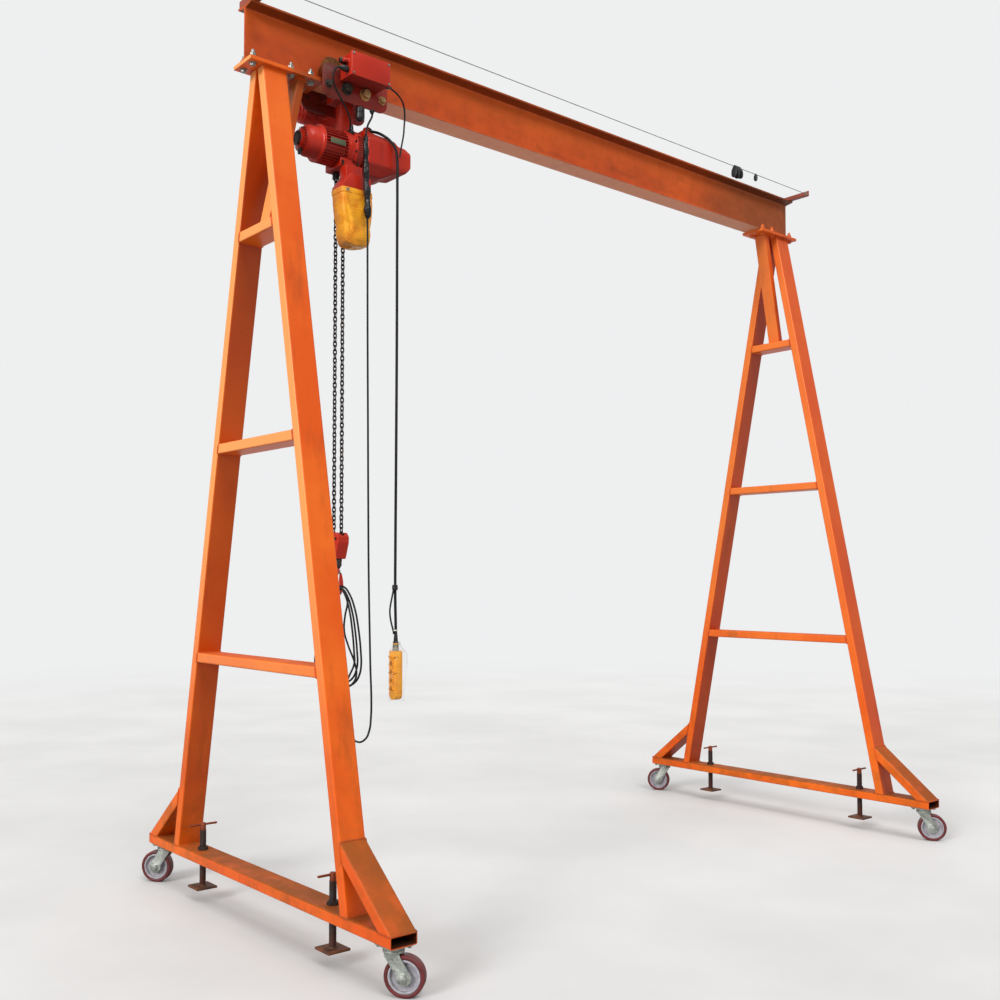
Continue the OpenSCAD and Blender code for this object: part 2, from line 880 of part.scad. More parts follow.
// Two falls of load chain from the hoist down to the hook block, each a bar of
// crossed section as wide as the links and as thick as their wire
module load_chain() {
    w = (chain_pitch + 2 * chain_wire) * 0.35;
    t = chain_wire / 2;
    color("dimgray")
        translate([tx + fall_x, 0, block_top - 24])
            for (s = [-1, 1])
                translate([0, s * fall_gap / 2, 0])
                    linear_extrude(height = body_bottom - block_top + 24)
                        polygon([
                            [-w, -t], [-t, -t], [-t, -w], [t, -w], [t, -t], [w, -t],
                            [w, t], [t, t], [t, w], [-t, w], [-t, t], [-w, t]]);
}

module hook_block() {
    w = block_width / 2;
    y = fall_gap / 2 + 19;
    zc = block_top - 46;
    color("firebrick")
        translate([tx + fall_x, 0, 0])
            difference() {
                union() {
                    along_x(-w, w, [
                        [-y, zc], [-y, block_top - 18], [-y + 16, block_top],
                        [y - 16, block_top], [y, block_top - 18], [y, zc],
                        [24, block_bottom], [-24, block_bottom]]);
                }
                for (s = [-1, 1])
                    rod_z(block_top - 24, block_top + 1, 0, s * fall_gap / 2, 28);
            }
}

// Pendant control with its row of push buttons facing the front
module pendant() {
    color("gold")
        translate([tx + pend_x, pend_y, 0]) {
            box(-18, 18, -26, 26, pend_low + 16, pend_top - 34);
            rod_x(-18, 18, 0, pend_low + 26, 52);
            rod_x(-18, 18, 0, pend_top - 60, 52);
            box(-21, -18 + e, -20, 20, pend_low + 30, pend_top - 66);
            for (i = [0:3])
                rod_x(-26, -20, 0, pend_low + 52 + i * 38, 24);
            rod_z(pend_top - 40, pend_top, 0, 0, 26);
        }
}

function unit(v) = v / norm(v);
function heading(p, i) = unit(
    (i < len(p) - 1 ? unit(p[i + 1] - p[i]) : [0, 0, 0])
    + (i > 0 ? unit(p[i] - p[i - 1]) : [0, 0, 0]));

// Tube through the points of a route, one ring of corners at each point
module swept(p, r, up, n = 8) {
    k = len(p);
    pts = [for (i = [0:k - 1])
        let (h = heading(p, i), u = unit(cross(h, up)), v = cross(h, u))
            for (j = [0:n - 1])
                p[i] + r[i] * (cos(j * 360 / n) * u + sin(j * 360 / n) * v)];
    polyhedron(points = pts, faces = concat(
        [[for (j = [0:n - 1]) n - 1 - j]],
        [[for (j = [0:n - 1]) (k - 1) * n + j]],
        [for (i = [0:k - 2]) for (j = [0:n - 1])
            [i * n + j, i * n + (j + 1) % n, (i + 1) * n + (j + 1) % n]],
        [for (i = [0:k - 2]) for (j = [0:n - 1])
            [i * n + j, (i + 1) * n + (j + 1) % n, (i + 1) * n + j]]));
}

// Points and thickness of the hook, from its shank round to its point
hook_form = [
    [0, hook_shank, 22], [0, 72, 22], [-9, 58, 24], [-23, 41, 25], [-32, 20, 26], [-34, 0, 27],
    [-29, -18, 28], [-17, -29, 28], [0, -34, 28], [17, -29, 28], [29, -18, 26], [34, 0, 24],
    [34, 20, 21], [32, 38, 17], [30, 50, 13], [29, 57, 8]];

// Swivel hook with a long point
module hook() {
    color("firebrick")
        translate([tx + fall_x, 0, hook_z])
            rotate([0, 0, hook_turn]) {
                swept([for (q = hook_form) [q[0], 0, q[1]]], [for (q = hook_form) q[2] / 2],
                    [0, 1, 0], 16);
            }
}

// Turn, top, underside and half width of the hank of spare cable
hank_turn = hook_turn - 90;
hank_top = hook_z + 29;
hank_low = 984;
hank_half = 127;

power_route = [
    [94, -90, side_z], [94, -90, side_z - 12], [90, -97, side_z - 26], [74, -114, 3578],
    [34, -140, 3520], [16, -155, 3474], [5, -165, 3420], [4, -168, 3360], [8, -168, 3230], [14, -168, 3160],
    [16, -168, 3120], [18, -168, 2900], [20, -168, 2600], [24, -168, 2200], [28, -168, 1800],
    [32, -168, 1500], [40, -166, 1250], [48, -162, 1080], [56, -158, 960], [60, -150, 870],
    [56, -143, 812], [42, -130, 774], [22, -108, 762], [4, -82, 784], [-4, -58, 838],
    [-6, -40, 910], [-4, -36, hank_low - 20], [-4, -36, hank_low]];
power_r = [for (i = [0:len(power_route) - 1])
    (i > 5 && i < 10 ? power_tape_d : power_d) / 2];
pendant_route = [
    [108, -40, hz + 112], [120, -40, hz + 112], [130, -46, hz + 110],
    [142, -60, hz + 105], [162, -90, hz + 84], [184, -112, hz + 58],
    [200, -126, hz + 26], [208, -130, hz - 20], [210, -130, hz - 140], [210, -130, 3000],
    [210, -130, 2500], [208, -130, 2000], [206, -130, 1600], [206, -130, 1400],
    [209, -130, 1280], [pend_x, pend_y, pend_top + 22], [pend_x, pend_y, pend_top]];
branch_route = [
    [box_x + box_length, -150, box_z + 18], [box_x + box_length + 14, -150, box_z + 18],
    [box_x + box_length + 42, -149, box_z + 12],
    [232, -142, 3688], [248, -134, 3640], [246, -130, 3580], [232, -142, 3510],
    [214, -148, 3460], [208, -150, 3420]];
lead_route = [
    [box_x - 26, -157, box_z + 30], [box_x - 42, -157, box_z + 30], [-152, -155, 3722], [-158, -150, 3690],
    [-140, -140, 3650], [-100, -128, 3612], [-60, -112, 3580], [-28, -92, 3548],
    [-8, -62, hz + 76]];

module power_cable() {
    color("black")
        translate([tx, 0, 0])
            swept(power_route, power_r, [0, 1, 0.3]);
}

module pendant_cable() {
    color("black")
        translate([tx, 0, 0])
            swept(pendant_route, [for (p = pendant_route) pendant_d / 2], [0.4, 1, 0.2]);
}

module pendant_branch() {
    color("black")
        translate([tx, 0, 0])
            swept(branch_route, [for (p = branch_route) lead_d / 2], [0, 1, 0]);
}

module trolley_lead() {
    color("black")
        translate([tx, 0, 0])
            swept(lead_route, [for (p = lead_route) lead_d / 2], [0.3, 1, 0]);
}

// Outline of the hank of spare cable hung on the hook
function hank_side(w, top, low) = [
    [0, top], [30, top - 5], [w * 0.48, top - 36], [w * 0.7, top - 100], [w * 0.86, top - 190],
    [w * 0.98, top - 300], [w, low + 110], [w * 0.95, low + 66], [w * 0.8, low + 28],
    [w * 0.5, low], [0, low]];
function loop_of(h) = concat(h, [for (i = [len(h) - 2:-1:1]) [-h[i][0], h[i][1]]]);

module cable_hank() {
    color("black")
        translate([tx + fall_x, 0, 0])
            rotate([0, 0, hank_turn])
                difference() {
                    along_y(-16, 16, loop_of(hank_side(hank_half, hank_top, hank_low)));
                    along_y(-17, 17, loop_of(hank_side(hank_half - 42, hank_top - 40,
                        hank_low + 40)));
                }
}

module cable_plug() {
    color("black")
        translate([tx + fall_x, 0, 0])
            rotate([0, 0, hank_turn])
                rod_z(hank_low - plug_length, hank_low, 0, 0, 36);
}

base_beams();
near_legs();
far_legs();
rungs();
corner_braces();
knee_struts();
head_plates();
main_beam();
cross_angles();
guide_wire();
cable_clips();
caster_plates();
fork_near_front();
core_near_front();
tyre_near_front();
fork_near_rear();
core_near_rear();
tyre_near_rear();
fork_far_front();
core_far_front();
tyre_far_front();
fork_far_rear();
core_far_rear();
tyre_far_rear();
screw_near_front();
foot_near_front();
screw_near_rear();
foot_near_rear();
screw_far_front();
foot_far_front();
screw_far_rear();
foot_far_rear();
trolley_plates();
trolley_wheels();
trolley_drive();
control_box();
hoist_yoke();
hoist_motor();
fan_cowl();
gear_case();
hoist_cover();
chain_guide();
chain_bag();
load_chain();
hook_block();
hook();
pendant();
power_cable();
cable_hank();
cable_plug();
pendant_cable();
pendant_branch();
trolley_lead();
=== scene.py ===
# Portable gantry crane with an electric chain hoist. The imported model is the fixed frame,
# and each section below makes one group of pieces in the order in which the crane goes together.
import math
import bmesh
import bpy
from mathutils import Matrix, Vector, noise


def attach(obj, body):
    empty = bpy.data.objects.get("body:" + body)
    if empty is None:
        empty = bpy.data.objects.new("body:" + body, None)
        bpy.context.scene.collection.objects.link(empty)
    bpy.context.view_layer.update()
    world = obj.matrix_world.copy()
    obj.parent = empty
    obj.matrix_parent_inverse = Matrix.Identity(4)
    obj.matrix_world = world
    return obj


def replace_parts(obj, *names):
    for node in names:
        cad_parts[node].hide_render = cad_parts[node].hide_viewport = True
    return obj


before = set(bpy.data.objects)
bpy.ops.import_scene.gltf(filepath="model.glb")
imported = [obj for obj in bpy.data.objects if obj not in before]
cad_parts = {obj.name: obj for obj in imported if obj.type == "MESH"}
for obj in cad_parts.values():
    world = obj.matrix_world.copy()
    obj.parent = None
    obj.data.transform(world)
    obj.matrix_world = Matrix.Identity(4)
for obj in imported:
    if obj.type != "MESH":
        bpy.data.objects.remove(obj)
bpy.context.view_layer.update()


# Viewpoint: a phone at eye height off the crane's near left corner, looking along the beam.
# The lens is a little longer than a phone's own, and shifted where the picture was trimmed.
def put(name, data):
    """A new object in the scene."""
    made = bpy.data.objects.new(name, data)
    bpy.context.collection.objects.link(made)
    return made


eye = Vector((-4.240, -4.128, 1.486))
yaw, pitch, roll = 0.6757, 0.04095, 0.00187
ahead = Vector((math.sin(yaw) * math.cos(pitch), math.cos(yaw) * math.cos(pitch), math.sin(pitch)))
level = Vector((math.cos(yaw), -math.sin(yaw), 0))
above = level.cross(ahead)
aside = math.cos(roll) * level + math.sin(roll) * above
upright = math.cos(roll) * above - math.sin(roll) * level
viewpoint = put("viewpoint", bpy.data.cameras.new("viewpoint"))
viewpoint.matrix_world = Matrix((
    (aside.x, upright.x, -ahead.x, eye.x),
    (aside.y, upright.y, -ahead.y, eye.y),
    (aside.z, upright.z, -ahead.z, eye.z),
    (0, 0, 0, 1)))
viewpoint.data.sensor_fit = "HORIZONTAL"
viewpoint.data.sensor_width = 36
viewpoint.data.lens = 39.43
viewpoint.data.shift_x = 0.0627
viewpoint.data.shift_y = 0.0334
viewpoint.data.clip_end = 200
bpy.context.scene.camera = viewpoint
bpy.context.scene.view_settings.view_transform = "Standard"


# Power cable: black rubber-sheathed lead, 9 mm thick and about 7.6 m long. It drops from under the
# trolley's front plate, turns at knee height and is hung up on the hook as a hank of four turns.
class Wire:
    """A node's output that takes part in plain arithmetic."""

    def __init__(self, web, socket):
        self.web = web
        self.socket = socket

    def _sum(self, operation, first, second):
        return self.web.node("ShaderNodeMath", {"operation": operation}, {0: first, 1: second})

    def __add__(self, other):
        return self._sum("ADD", self, other)

    def __mul__(self, other):
        return self._sum("MULTIPLY", self, other)

    def __sub__(self, other):
        return self._sum("SUBTRACT", self, other)

    def __rsub__(self, other):
        return self._sum("SUBTRACT", other, self)

    def __gt__(self, other):
        return self._sum("GREATER_THAN", self, other)

    def __abs__(self):
        return self.web.node("ShaderNodeMath", {"operation": "ABSOLUTE"}, {0: self})


class Web:
    """A node tree that is laid down one node at a time."""

    def __init__(self, tree):
        self.tree = tree

    def node(self, kind, settings=None, sockets=None, out=0):
        made = self.tree.nodes.new(kind)
        for key, value in (settings or {}).items():
            setattr(made, key, value)
        for key, value in (sockets or {}).items():
            known = made.inputs[key] if isinstance(key, int) else next(
                s for s in made.inputs if key in (s.identifier, s.name))
            if isinstance(value, Wire):
                self.tree.links.new(value.socket, known)
            elif known.type == "RGBA" and len(value) == 3:
                known.default_value = (*value, 1)
            else:
                known.default_value = value
        found = made.outputs[out] if isinstance(out, int) else next(
            s for s in made.outputs if out in (s.identifier, s.name))
        return Wire(self, found)


def tint(code):
    """A colour code as the linear light that the shader takes."""
    parts = [int(code[i:i + 2], 16) / 255 for i in (1, 3, 5)]
    return tuple(p / 12.92 if p < 0.04045 else ((p + 0.055) / 1.055) ** 2.4 for p in parts)


class Finish(Web):
    """A surface finish: one Principled shader, the nodes that feed it, and its slot's name."""

    def __init__(self, name, slot=None, **constants):
        self.slot = slot
        self.material = bpy.data.materials.new(name)
        self.material.use_nodes = True
        super().__init__(self.material.node_tree)
        self.tree.nodes.clear()
        self.shader = self.tree.nodes.new("ShaderNodeBsdfPrincipled")
        output = self.tree.nodes.new("ShaderNodeOutputMaterial")
        self.tree.links.new(self.shader.outputs[0], output.inputs[0])
        for key, value in constants.items():
            self.shader.inputs[key.replace("_", " ")].default_value = value
        self.place = self.node("ShaderNodeTexCoord", out="Object")
        self.facing = self.node("ShaderNodeNewGeometry", out="Normal")

    def feed(self, key, wire):
        self.tree.links.new(wire.socket, self.shader.inputs[key])

    def now(self, key):
        """What feeds an input of the shader so far."""
        return Wire(self, self.shader.inputs[key].links[0].from_socket)

    def grain(self, scale, detail, rough=0.55, stretch=None, warp=0.0):
        """Cloudy noise over the piece, from 0 to 1."""
        at = self.place
        if stretch:
            at = self.node("ShaderNodeMapping", {}, {"Vector": at, "Scale": stretch})
        return self.node("ShaderNodeTexNoise", {}, {"Vector": at, "Scale": scale, "Detail": detail,
            "Roughness": rough, "Distortion": warp})

    def band(self, wire, low, high, to_low=0.0, to_high=1.0):
        """A value spread from low to high on to a new range, held at both ends."""
        return self.node("ShaderNodeMapRange", {"interpolation_type": "SMOOTHSTEP"},
            {"Value": wire, "From Min": low, "From Max": high, "To Min": to_low, "To Max": to_high})

    def blend(self, factor, first, second):
        return self.node("ShaderNodeMix", {"data_type": "RGBA"}, {"Factor_Float": factor,
            "A_Color": first, "B_Color": second}, "Result_Color")

    def base(self, share, first, second):
        """The first two colours of the surface, mixed."""
        self.feed("Base Color", self.blend(share, tint(first), tint(second)))

    def coat(self, share, colour):
        """One more layer of colour over what is there."""
        self.feed("Base Color", self.blend(share, self.now("Base Color"), tint(colour)))

    def axis(self, vector, letter):
        return self.node("ShaderNodeSeparateXYZ", {}, {0: vector}, letter)

    def relief(self, height, depth, strength, under=None):
        sockets = {"Height": height, "Distance": depth, "Strength": strength}
        if under:
            sockets["Normal"] = under
        return self.node("ShaderNodeBump", {}, sockets)

    def rounded(self, radius):
        """The normal that the edges would have if they were broken by this radius."""
        return self.node("ShaderNodeBevel", {"samples": 6}, {"Radius": radius})

    def edges(self, radius):
        """A mask that is 1 on hard edges and 0 on flats."""
        soft = self.rounded(radius)
        same = self.node("ShaderNodeVectorMath", {"operation": "DOT_PRODUCT"},
            {0: soft, 1: self.facing}, "Value")
        return self.band(same, 0.985, 0.86)


def sheathing(name, slot, colour, dust):
    """Rubber cable sheath: matt, scuffed, with dust in the fine grain."""
    skin = Finish(name, slot, IOR=1.5, Specular_IOR_Level=0.28)
    cloud = skin.grain(9, 4)
    fine = skin.grain(420, 3)
    skin.base(skin.band(cloud, 0.45, 0.75) * 0.45 + skin.band(fine, 0.55, 0.8) * 0.20, colour, dust)
    skin.feed("Roughness", skin.band(cloud, 0.2, 0.8, 0.42, 0.68))
    skin.feed("Normal", skin.relief(fine, 0.0003, 0.5))
    return skin


rubber = sheathing("cable sheath", "cable_sheath", "#0e0d0e", "#2c2a29")


def riding(made, body):
    """Ties an object to the body that it moves with."""
    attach(made, body)
    return made


def routed(name, points, diameter):
    """A rubber cable as one open curve through given points."""
    line = bpy.data.curves.new(name, "CURVE")
    line.dimensions = "3D"
    run = line.splines.new("BEZIER")
    run.bezier_points.add(len(points) - 1)
    for knot, place in zip(run.bezier_points, points):
        knot.co = place
        knot.handle_left_type = knot.handle_right_type = "AUTO"
    line.resolution_u = 7
    line.bevel_depth = diameter / 2
    line.bevel_resolution = 3
    line.use_fill_caps = True
    line.materials.append(rubber.material)
    return riding(put(name, line), "trolley")


def piece(name, mesh, finish, body, angle=35):
    """A finished mesh object: shaded, coloured and riding on its body."""
    mesh.name = name
    mesh.materials.clear()
    mesh.materials.append(finish.material)
    if angle:
        mesh.shade_smooth()
        mesh.set_sharp_from_angle(angle=math.radians(angle))
    return riding(put(name, mesh), body)


def full_turn(steps):
    """The angles of equal steps round a circle."""
    return [2 * math.pi * k / steps for k in range(steps)]


def spoke(side, other, angle):
    """A direction at an angle in the plane of two others."""
    return math.cos(angle) * side + math.sin(angle) * other


def skinned(shell, rings, capped=True):
    """Faces between each ring of points and the next, and over the two ends."""
    for low, high in zip(rings, rings[1:]):
        for k in range(len(low)):
            n = (k + 1) % len(low)
            shell.faces.new((low[k], low[n], high[n], high[k]))
    if capped:
        shell.faces.new(rings[0][::-1])
        shell.faces.new(rings[-1])


def meshed(shell, name, outward=False):
    """The mesh of a shell that is complete, with its faces turned outward if asked."""
    if outward:
        bmesh.ops.recalc_face_normals(shell, faces=shell.faces)
    mesh = bpy.data.meshes.new(name)
    shell.to_mesh(mesh)
    shell.free()
    return mesh


def lathe(rounds, sides):
    """Turned shapes in one mesh, each from (start, direction, [(along, radius), ...])."""
    shell = bmesh.new()
    for start, direction, profile in rounds:
        start, direction = Vector(start), Vector(direction).normalized()
        side = direction.orthogonal().normalized()
        other = direction.cross(side)
        skinned(shell, [[shell.verts.new(start + direction * along + radius * spoke(side, other, angle))
            for angle in full_turn(sides)] for along, radius in profile])
    return meshed(shell, "turned")


park = -1.485
hook_at = Vector((-1.507, 0, 1.453))
hank_angle = math.radians(-63)
hank_u = Vector((math.cos(hank_angle), math.sin(hank_angle), 0))
hank_v = Vector((-hank_u.y, hank_u.x, 0))


def in_hank(across, through, height):
    place = hook_at + hank_u * across + hank_v * through
    return (place.x, place.y, height)


power_run = [(park + x, y, z) for x, y, z in (
    (0.094, -0.090, 3.625), (0.094, -0.090, 3.613), (0.090, -0.097, 3.599), (0.074, -0.114, 3.578),
    (0.034, -0.140, 3.520), (0.016, -0.155, 3.474), (0.005, -0.165, 3.420), (0.004, -0.168, 3.360),
    (0.008, -0.168, 3.230), (0.014, -0.168, 3.160), (0.016, -0.168, 3.120), (0.018, -0.168, 2.900),
    (0.020, -0.168, 2.600), (0.024, -0.168, 2.200), (0.028, -0.168, 1.800), (0.032, -0.168, 1.500),
    (0.040, -0.166, 1.250), (0.048, -0.162, 1.080), (0.056, -0.158, 0.960), (0.060, -0.150, 0.870),
    (0.056, -0.143, 0.812), (0.042, -0.130, 0.774), (0.022, -0.108, 0.762), (0.004, -0.082, 0.784))]
power_run += [in_hank(0.062, -0.016, 0.838), in_hank(0.050, -0.022, 0.905),
    in_hank(0.050, -0.024, 0.975), in_hank(0.070, -0.022, 1.040)]
strand_gap = 0.0094
turn_depth = [-0.0141, -0.0047, 0.0047, 0.0141]
turn_half = [0.097, 0.110, 0.103, 0.116]
turn_low = [1.012, 0.996, 1.018, 1.001]
turn_top = [1.449, 1.4405, 1.4405, 1.449]
side_shape = [(0.45, 0.003), (0.75, 0.022), (0.93, 0.056), (1.0, 0.098), (0.985, -0.296),
    (0.87, -0.186), (0.70, -0.096), (0.46, -0.032), (0.245, -0.004)]
loose_shape = [(0.45, 0.003), (0.76, 0.022), (0.93, 0.060), (0.84, 0.116), (0.56, 0.186), (0.36, -0.190),
    (0.40, -0.120), (0.50, -0.066), (0.45, -0.030), (0.245, -0.004)]
last_turn = len(turn_depth) - 1
for turn, (depth, half, low, top) in enumerate(zip(turn_depth, turn_half, turn_low, turn_top)):
    climb, drape = ([(w * half, low + h if h >= 0 else top + h) for w, h in shape]
        for shape in (loose_shape if turn == 1 else side_shape, side_shape))
    for across, height in climb[3 if turn == 0 else 0:]:
        power_run.append(in_hank(across, depth, height))
    power_run.append(in_hank(0, depth, top))
    fall = [(-across, height) for across, height in reversed(drape)]
    if turn < last_turn:
        next_low = turn_low[turn + 1]
        for step, (across, height) in enumerate(fall):
            share = max(0.0, (step - 4) / 5)
            share = share * share * (3 - 2 * share)
            power_run.append(in_hank(across, depth + strand_gap * share,
                height + (next_low - low) * share))
        power_run.append(in_hank(0, turn_depth[turn + 1], next_low))
    else:
        power_run += [in_hank(across, depth, height) for across, height in fall[:5]]
        power_run += [in_hank(-0.110, 0.0165, 1.105), in_hank(-0.094, 0.0220, 1.056),
            in_hank(-0.068, 0.0240, 1.024), in_hank(-0.038, 0.0240, 1.002),
            in_hank(-0.014, 0.0225, 0.982), in_hank(-0.002, 0.0190, 0.958), in_hank(0, 0.0170, 0.938)]
power_lead = routed("power_cable_and_hank", power_run, 0.009)
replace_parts(power_lead, "power_cable", "cable_hank")


# Tape on the power cable: black insulating tape wound round it below the hoist, in uneven laps
# and knobs that grow towards its lower end. A moulded plug hangs at the cable's other end.
tape_knobs = [(0.22, 0.0016, 0.6), (0.46, 0.0024, -0.7), (0.68, 0.0034, 0.8), (0.90, 0.0040, -0.9)]
snug = 0.0052


def tape_radius(share, angle):
    """Uneven laps and knobs, thicker towards the end and flat on the side that lies by the bag."""
    lap = (share * 24 + angle / (2 * math.pi)) % 1.0
    swell = min(1.0, share / 0.05, (1 - share) / 0.03)
    lump = noise.noise(Vector((share * 9, 1.4 * math.cos(angle), 1.4 * math.sin(angle))))
    knobs = sum(size * math.exp(-((share - at) / 0.045) ** 2) * (1 + lean * math.cos(angle))
        for at, size, lean in tape_knobs)
    body = snug + 0.0010 * lap + 0.0040 * lump + 0.0044 * share ** 0.6 + knobs
    return snug + swell * (0.76 + 0.44 * math.sin(angle)) * body


def taped(points):
    """A sleeve of tape that follows a route."""
    sides, step = 14, 0.003
    line = [Vector(p) for p in points]
    track = [line[0]]
    for a, b in zip(line, line[1:]):
        count = max(1, int((b - a).length / step))
        track += [a.lerp(b, (k + 1) / count) for k in range(count)]
    shell = bmesh.new()
    rings = []
    for index, centre in enumerate(track):
        heading = (track[min(index + 2, len(track) - 1)] - track[max(index - 2, 0)]).normalized()
        side = heading.cross(Vector((0, 1, 0.3))).normalized()
        other = heading.cross(side)
        share = index / (len(track) - 1)
        rings.append([shell.verts.new(centre + tape_radius(share, angle) * spoke(side, other, angle))
            for angle in full_turn(sides)])
    skinned(shell, rings)
    return meshed(shell, "tape")


def taping(name, slot):
    """Plastic tape: smooth and black, a little worn."""
    skin = Finish(name, slot, IOR=1.52, Specular_IOR_Level=0.30)
    cloud = skin.grain(60, 3)
    skin.base(skin.band(cloud, 0.4, 0.7), "#0a0a0b", "#1f1d1e")
    skin.feed("Roughness", skin.band(cloud, 0.3, 0.7, 0.30, 0.55))
    skin.feed("Normal", skin.relief(skin.grain(500, 2), 0.0002, 0.5))
    return skin


black_tape = taping("black tape", "cable_sheath")
tape_run = power_run[5:11] + [(park + 0.0164, -0.168, 3.086)]
tape = piece("cable_tape", taped(tape_run), black_tape, "trolley", 50)
plug_line = in_hank(0, 0.0170, 0.958)
plug_body = piece("power_plug", lathe([
    (plug_line, (0, 0, -1), [(0, 0.0058), (0.004, 0.0075), (0.012, 0.0078), (0.013, 0.0068),
        (0.016, 0.0068), (0.017, 0.0090), (0.021, 0.0092), (0.0225, 0.0120), (0.026, 0.0165),
        (0.031, 0.0178), (0.034, 0.0180), (0.0345, 0.0172), (0.0362, 0.0172), (0.0367, 0.0180),
        (0.0405, 0.0180), (0.042, 0.0168), (0.0425, 0.0110)])], 40),
    black_tape, "trolley", 32)
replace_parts(plug_body, "cable_plug")


# Pendant cable: thick round control cable from the hoist's cover down to the push-button pendant.
# It hangs straight, and goes with the pendant, so both of its ends are fixed to the crane.
pendant_run = [(park + x, y, z) for x, y, z in (
    (0.108, -0.040, 3.552), (0.120, -0.040, 3.552), (0.130, -0.046, 3.550), (0.142, -0.060, 3.545),
    (0.162, -0.090, 3.524), (0.184, -0.112, 3.498), (0.200, -0.126, 3.466), (0.208, -0.130, 3.420),
    (0.210, -0.130, 3.300), (0.210, -0.130, 3.000), (0.210, -0.130, 2.500), (0.208, -0.130, 2.000),
    (0.206, -0.130, 1.600), (0.206, -0.130, 1.400), (0.209, -0.130, 1.280), (0.210, -0.130, 1.214),
    (0.210, -0.130, 1.192))]
pendant_lead = routed("pendant_cable_line", pendant_run, 0.013)
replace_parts(pendant_lead, "pendant_cable")


# Short leads: one jumps from the control box's right end across to the pendant cable, and one
# goes from the glands at the box's left end down into the top of the gear case.
branch_run = [(park + x, y, z) for x, y, z in (
    (0.121, -0.150, 3.728), (0.135, -0.150, 3.728), (0.163, -0.149, 3.722), (0.200, -0.146, 3.708),
    (0.232, -0.142, 3.680), (0.246, -0.136, 3.640), (0.247, -0.132, 3.580), (0.238, -0.138, 3.530),
    (0.226, -0.144, 3.490), (0.216, -0.148, 3.455), (0.210, -0.148, 3.420))]
branch_lead = routed("box_branch_lead", branch_run, 0.008)
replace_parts(branch_lead, "pendant_branch")
gear_run = [(park + x, y, z) for x, y, z in (
    (-0.110, -0.157, 3.740), (-0.126, -0.157, 3.740), (-0.152, -0.155, 3.722), (-0.158, -0.150, 3.690),
    (-0.140, -0.140, 3.650), (-0.100, -0.128, 3.612), (-0.060, -0.112, 3.580), (-0.028, -0.092, 3.548),
    (-0.008, -0.062, 3.516))]
gear_lead = routed("box_to_gear_lead", gear_run, 0.008)
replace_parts(gear_lead, "trolley_lead")


# Studio: a plain pale floor that fades into a pale background, so the crane stands clear of both.
# Soft light comes from windows at the left and a skylight in front, and the air fills the rest.
paper = (0.86, 0.865, 0.87)


def looked_at(web):
    """1 where the background is seen, a quarter where it is mirrored, and 0 where it gives light."""
    ray = web.tree.nodes.new("ShaderNodeLightPath")
    return Wire(web, ray.outputs["Is Camera Ray"]) + Wire(web, ray.outputs["Is Glossy Ray"]) * 0.25 + Wire(
        web, ray.outputs["Is Transmission Ray"])


ground = Finish("pale floor", Roughness=0.75)
spread = ground.node("ShaderNodeVectorMath", {"operation": "LENGTH"}, {0: ground.place}, "Value")
trowelled = ground.blend(ground.band(ground.grain(0.8, 4), 0.3, 0.7), (0.60, 0.60, 0.595),
    (0.66, 0.66, 0.655))
ground.feed("Base Color", ground.blend(looked_at(ground), (0.30, 0.30, 0.298), trowelled))
glow = ground.node("ShaderNodeEmission", {}, {"Color": paper, "Strength": 1.0})
faded = ground.node("ShaderNodeMixShader", {}, {0: ground.band(spread, 5.0, 16.0),
    1: Wire(ground, ground.shader.outputs[0]), 2: glow})
ground.tree.links.new(faded.socket, next(
    n for n in ground.tree.nodes if n.type == "OUTPUT_MATERIAL").inputs[0])
floor_mesh = bpy.data.meshes.new("studio_floor")
floor_mesh.from_pydata([(-60, -60, 0), (60, -60, 0), (60, 60, 0), (-60, 60, 0)], [], [(0, 1, 2, 3)])
floor_mesh.materials.append(ground.material)
studio_floor = put("studio_floor", floor_mesh)
air = bpy.data.worlds.new("studio air")
air.use_nodes = True
bpy.context.scene.world = air
sky = Web(air.node_tree)
air.node_tree.nodes.clear()
fill = sky.node("ShaderNodeBackground", {}, {"Color": (1.0, 0.99, 0.975), "Strength": 0.46})
backdrop = sky.node("ShaderNodeBackground", {}, {"Color": paper, "Strength": 1.0})
both = sky.node("ShaderNodeMixShader", {}, {0: looked_at(sky), 1: fill, 2: backdrop})
sky.tree.links.new(both.socket, sky.tree.nodes.new("ShaderNodeOutputWorld").inputs[0])
for label, strength, angle, toward in (("side windows", 2.2, 22, (0.90, 0.18, -0.42)),
        ("front skylight", 1.35, 30, (0.12, 0.62, -0.70)), ("ceiling", 0.6, 60, (0.0, 0.0, -1.0)),
        ("back wall", 0.35, 50, (-0.80, -0.55, -0.25))):
    lamp = bpy.data.lights.new(label, "SUN")
    lamp.energy = strength
    lamp.angle = math.radians(angle)
    sun = put(label, lamp)
    sun.rotation_euler = Vector(toward).to_track_quat("-Z", "Y").to_euler()
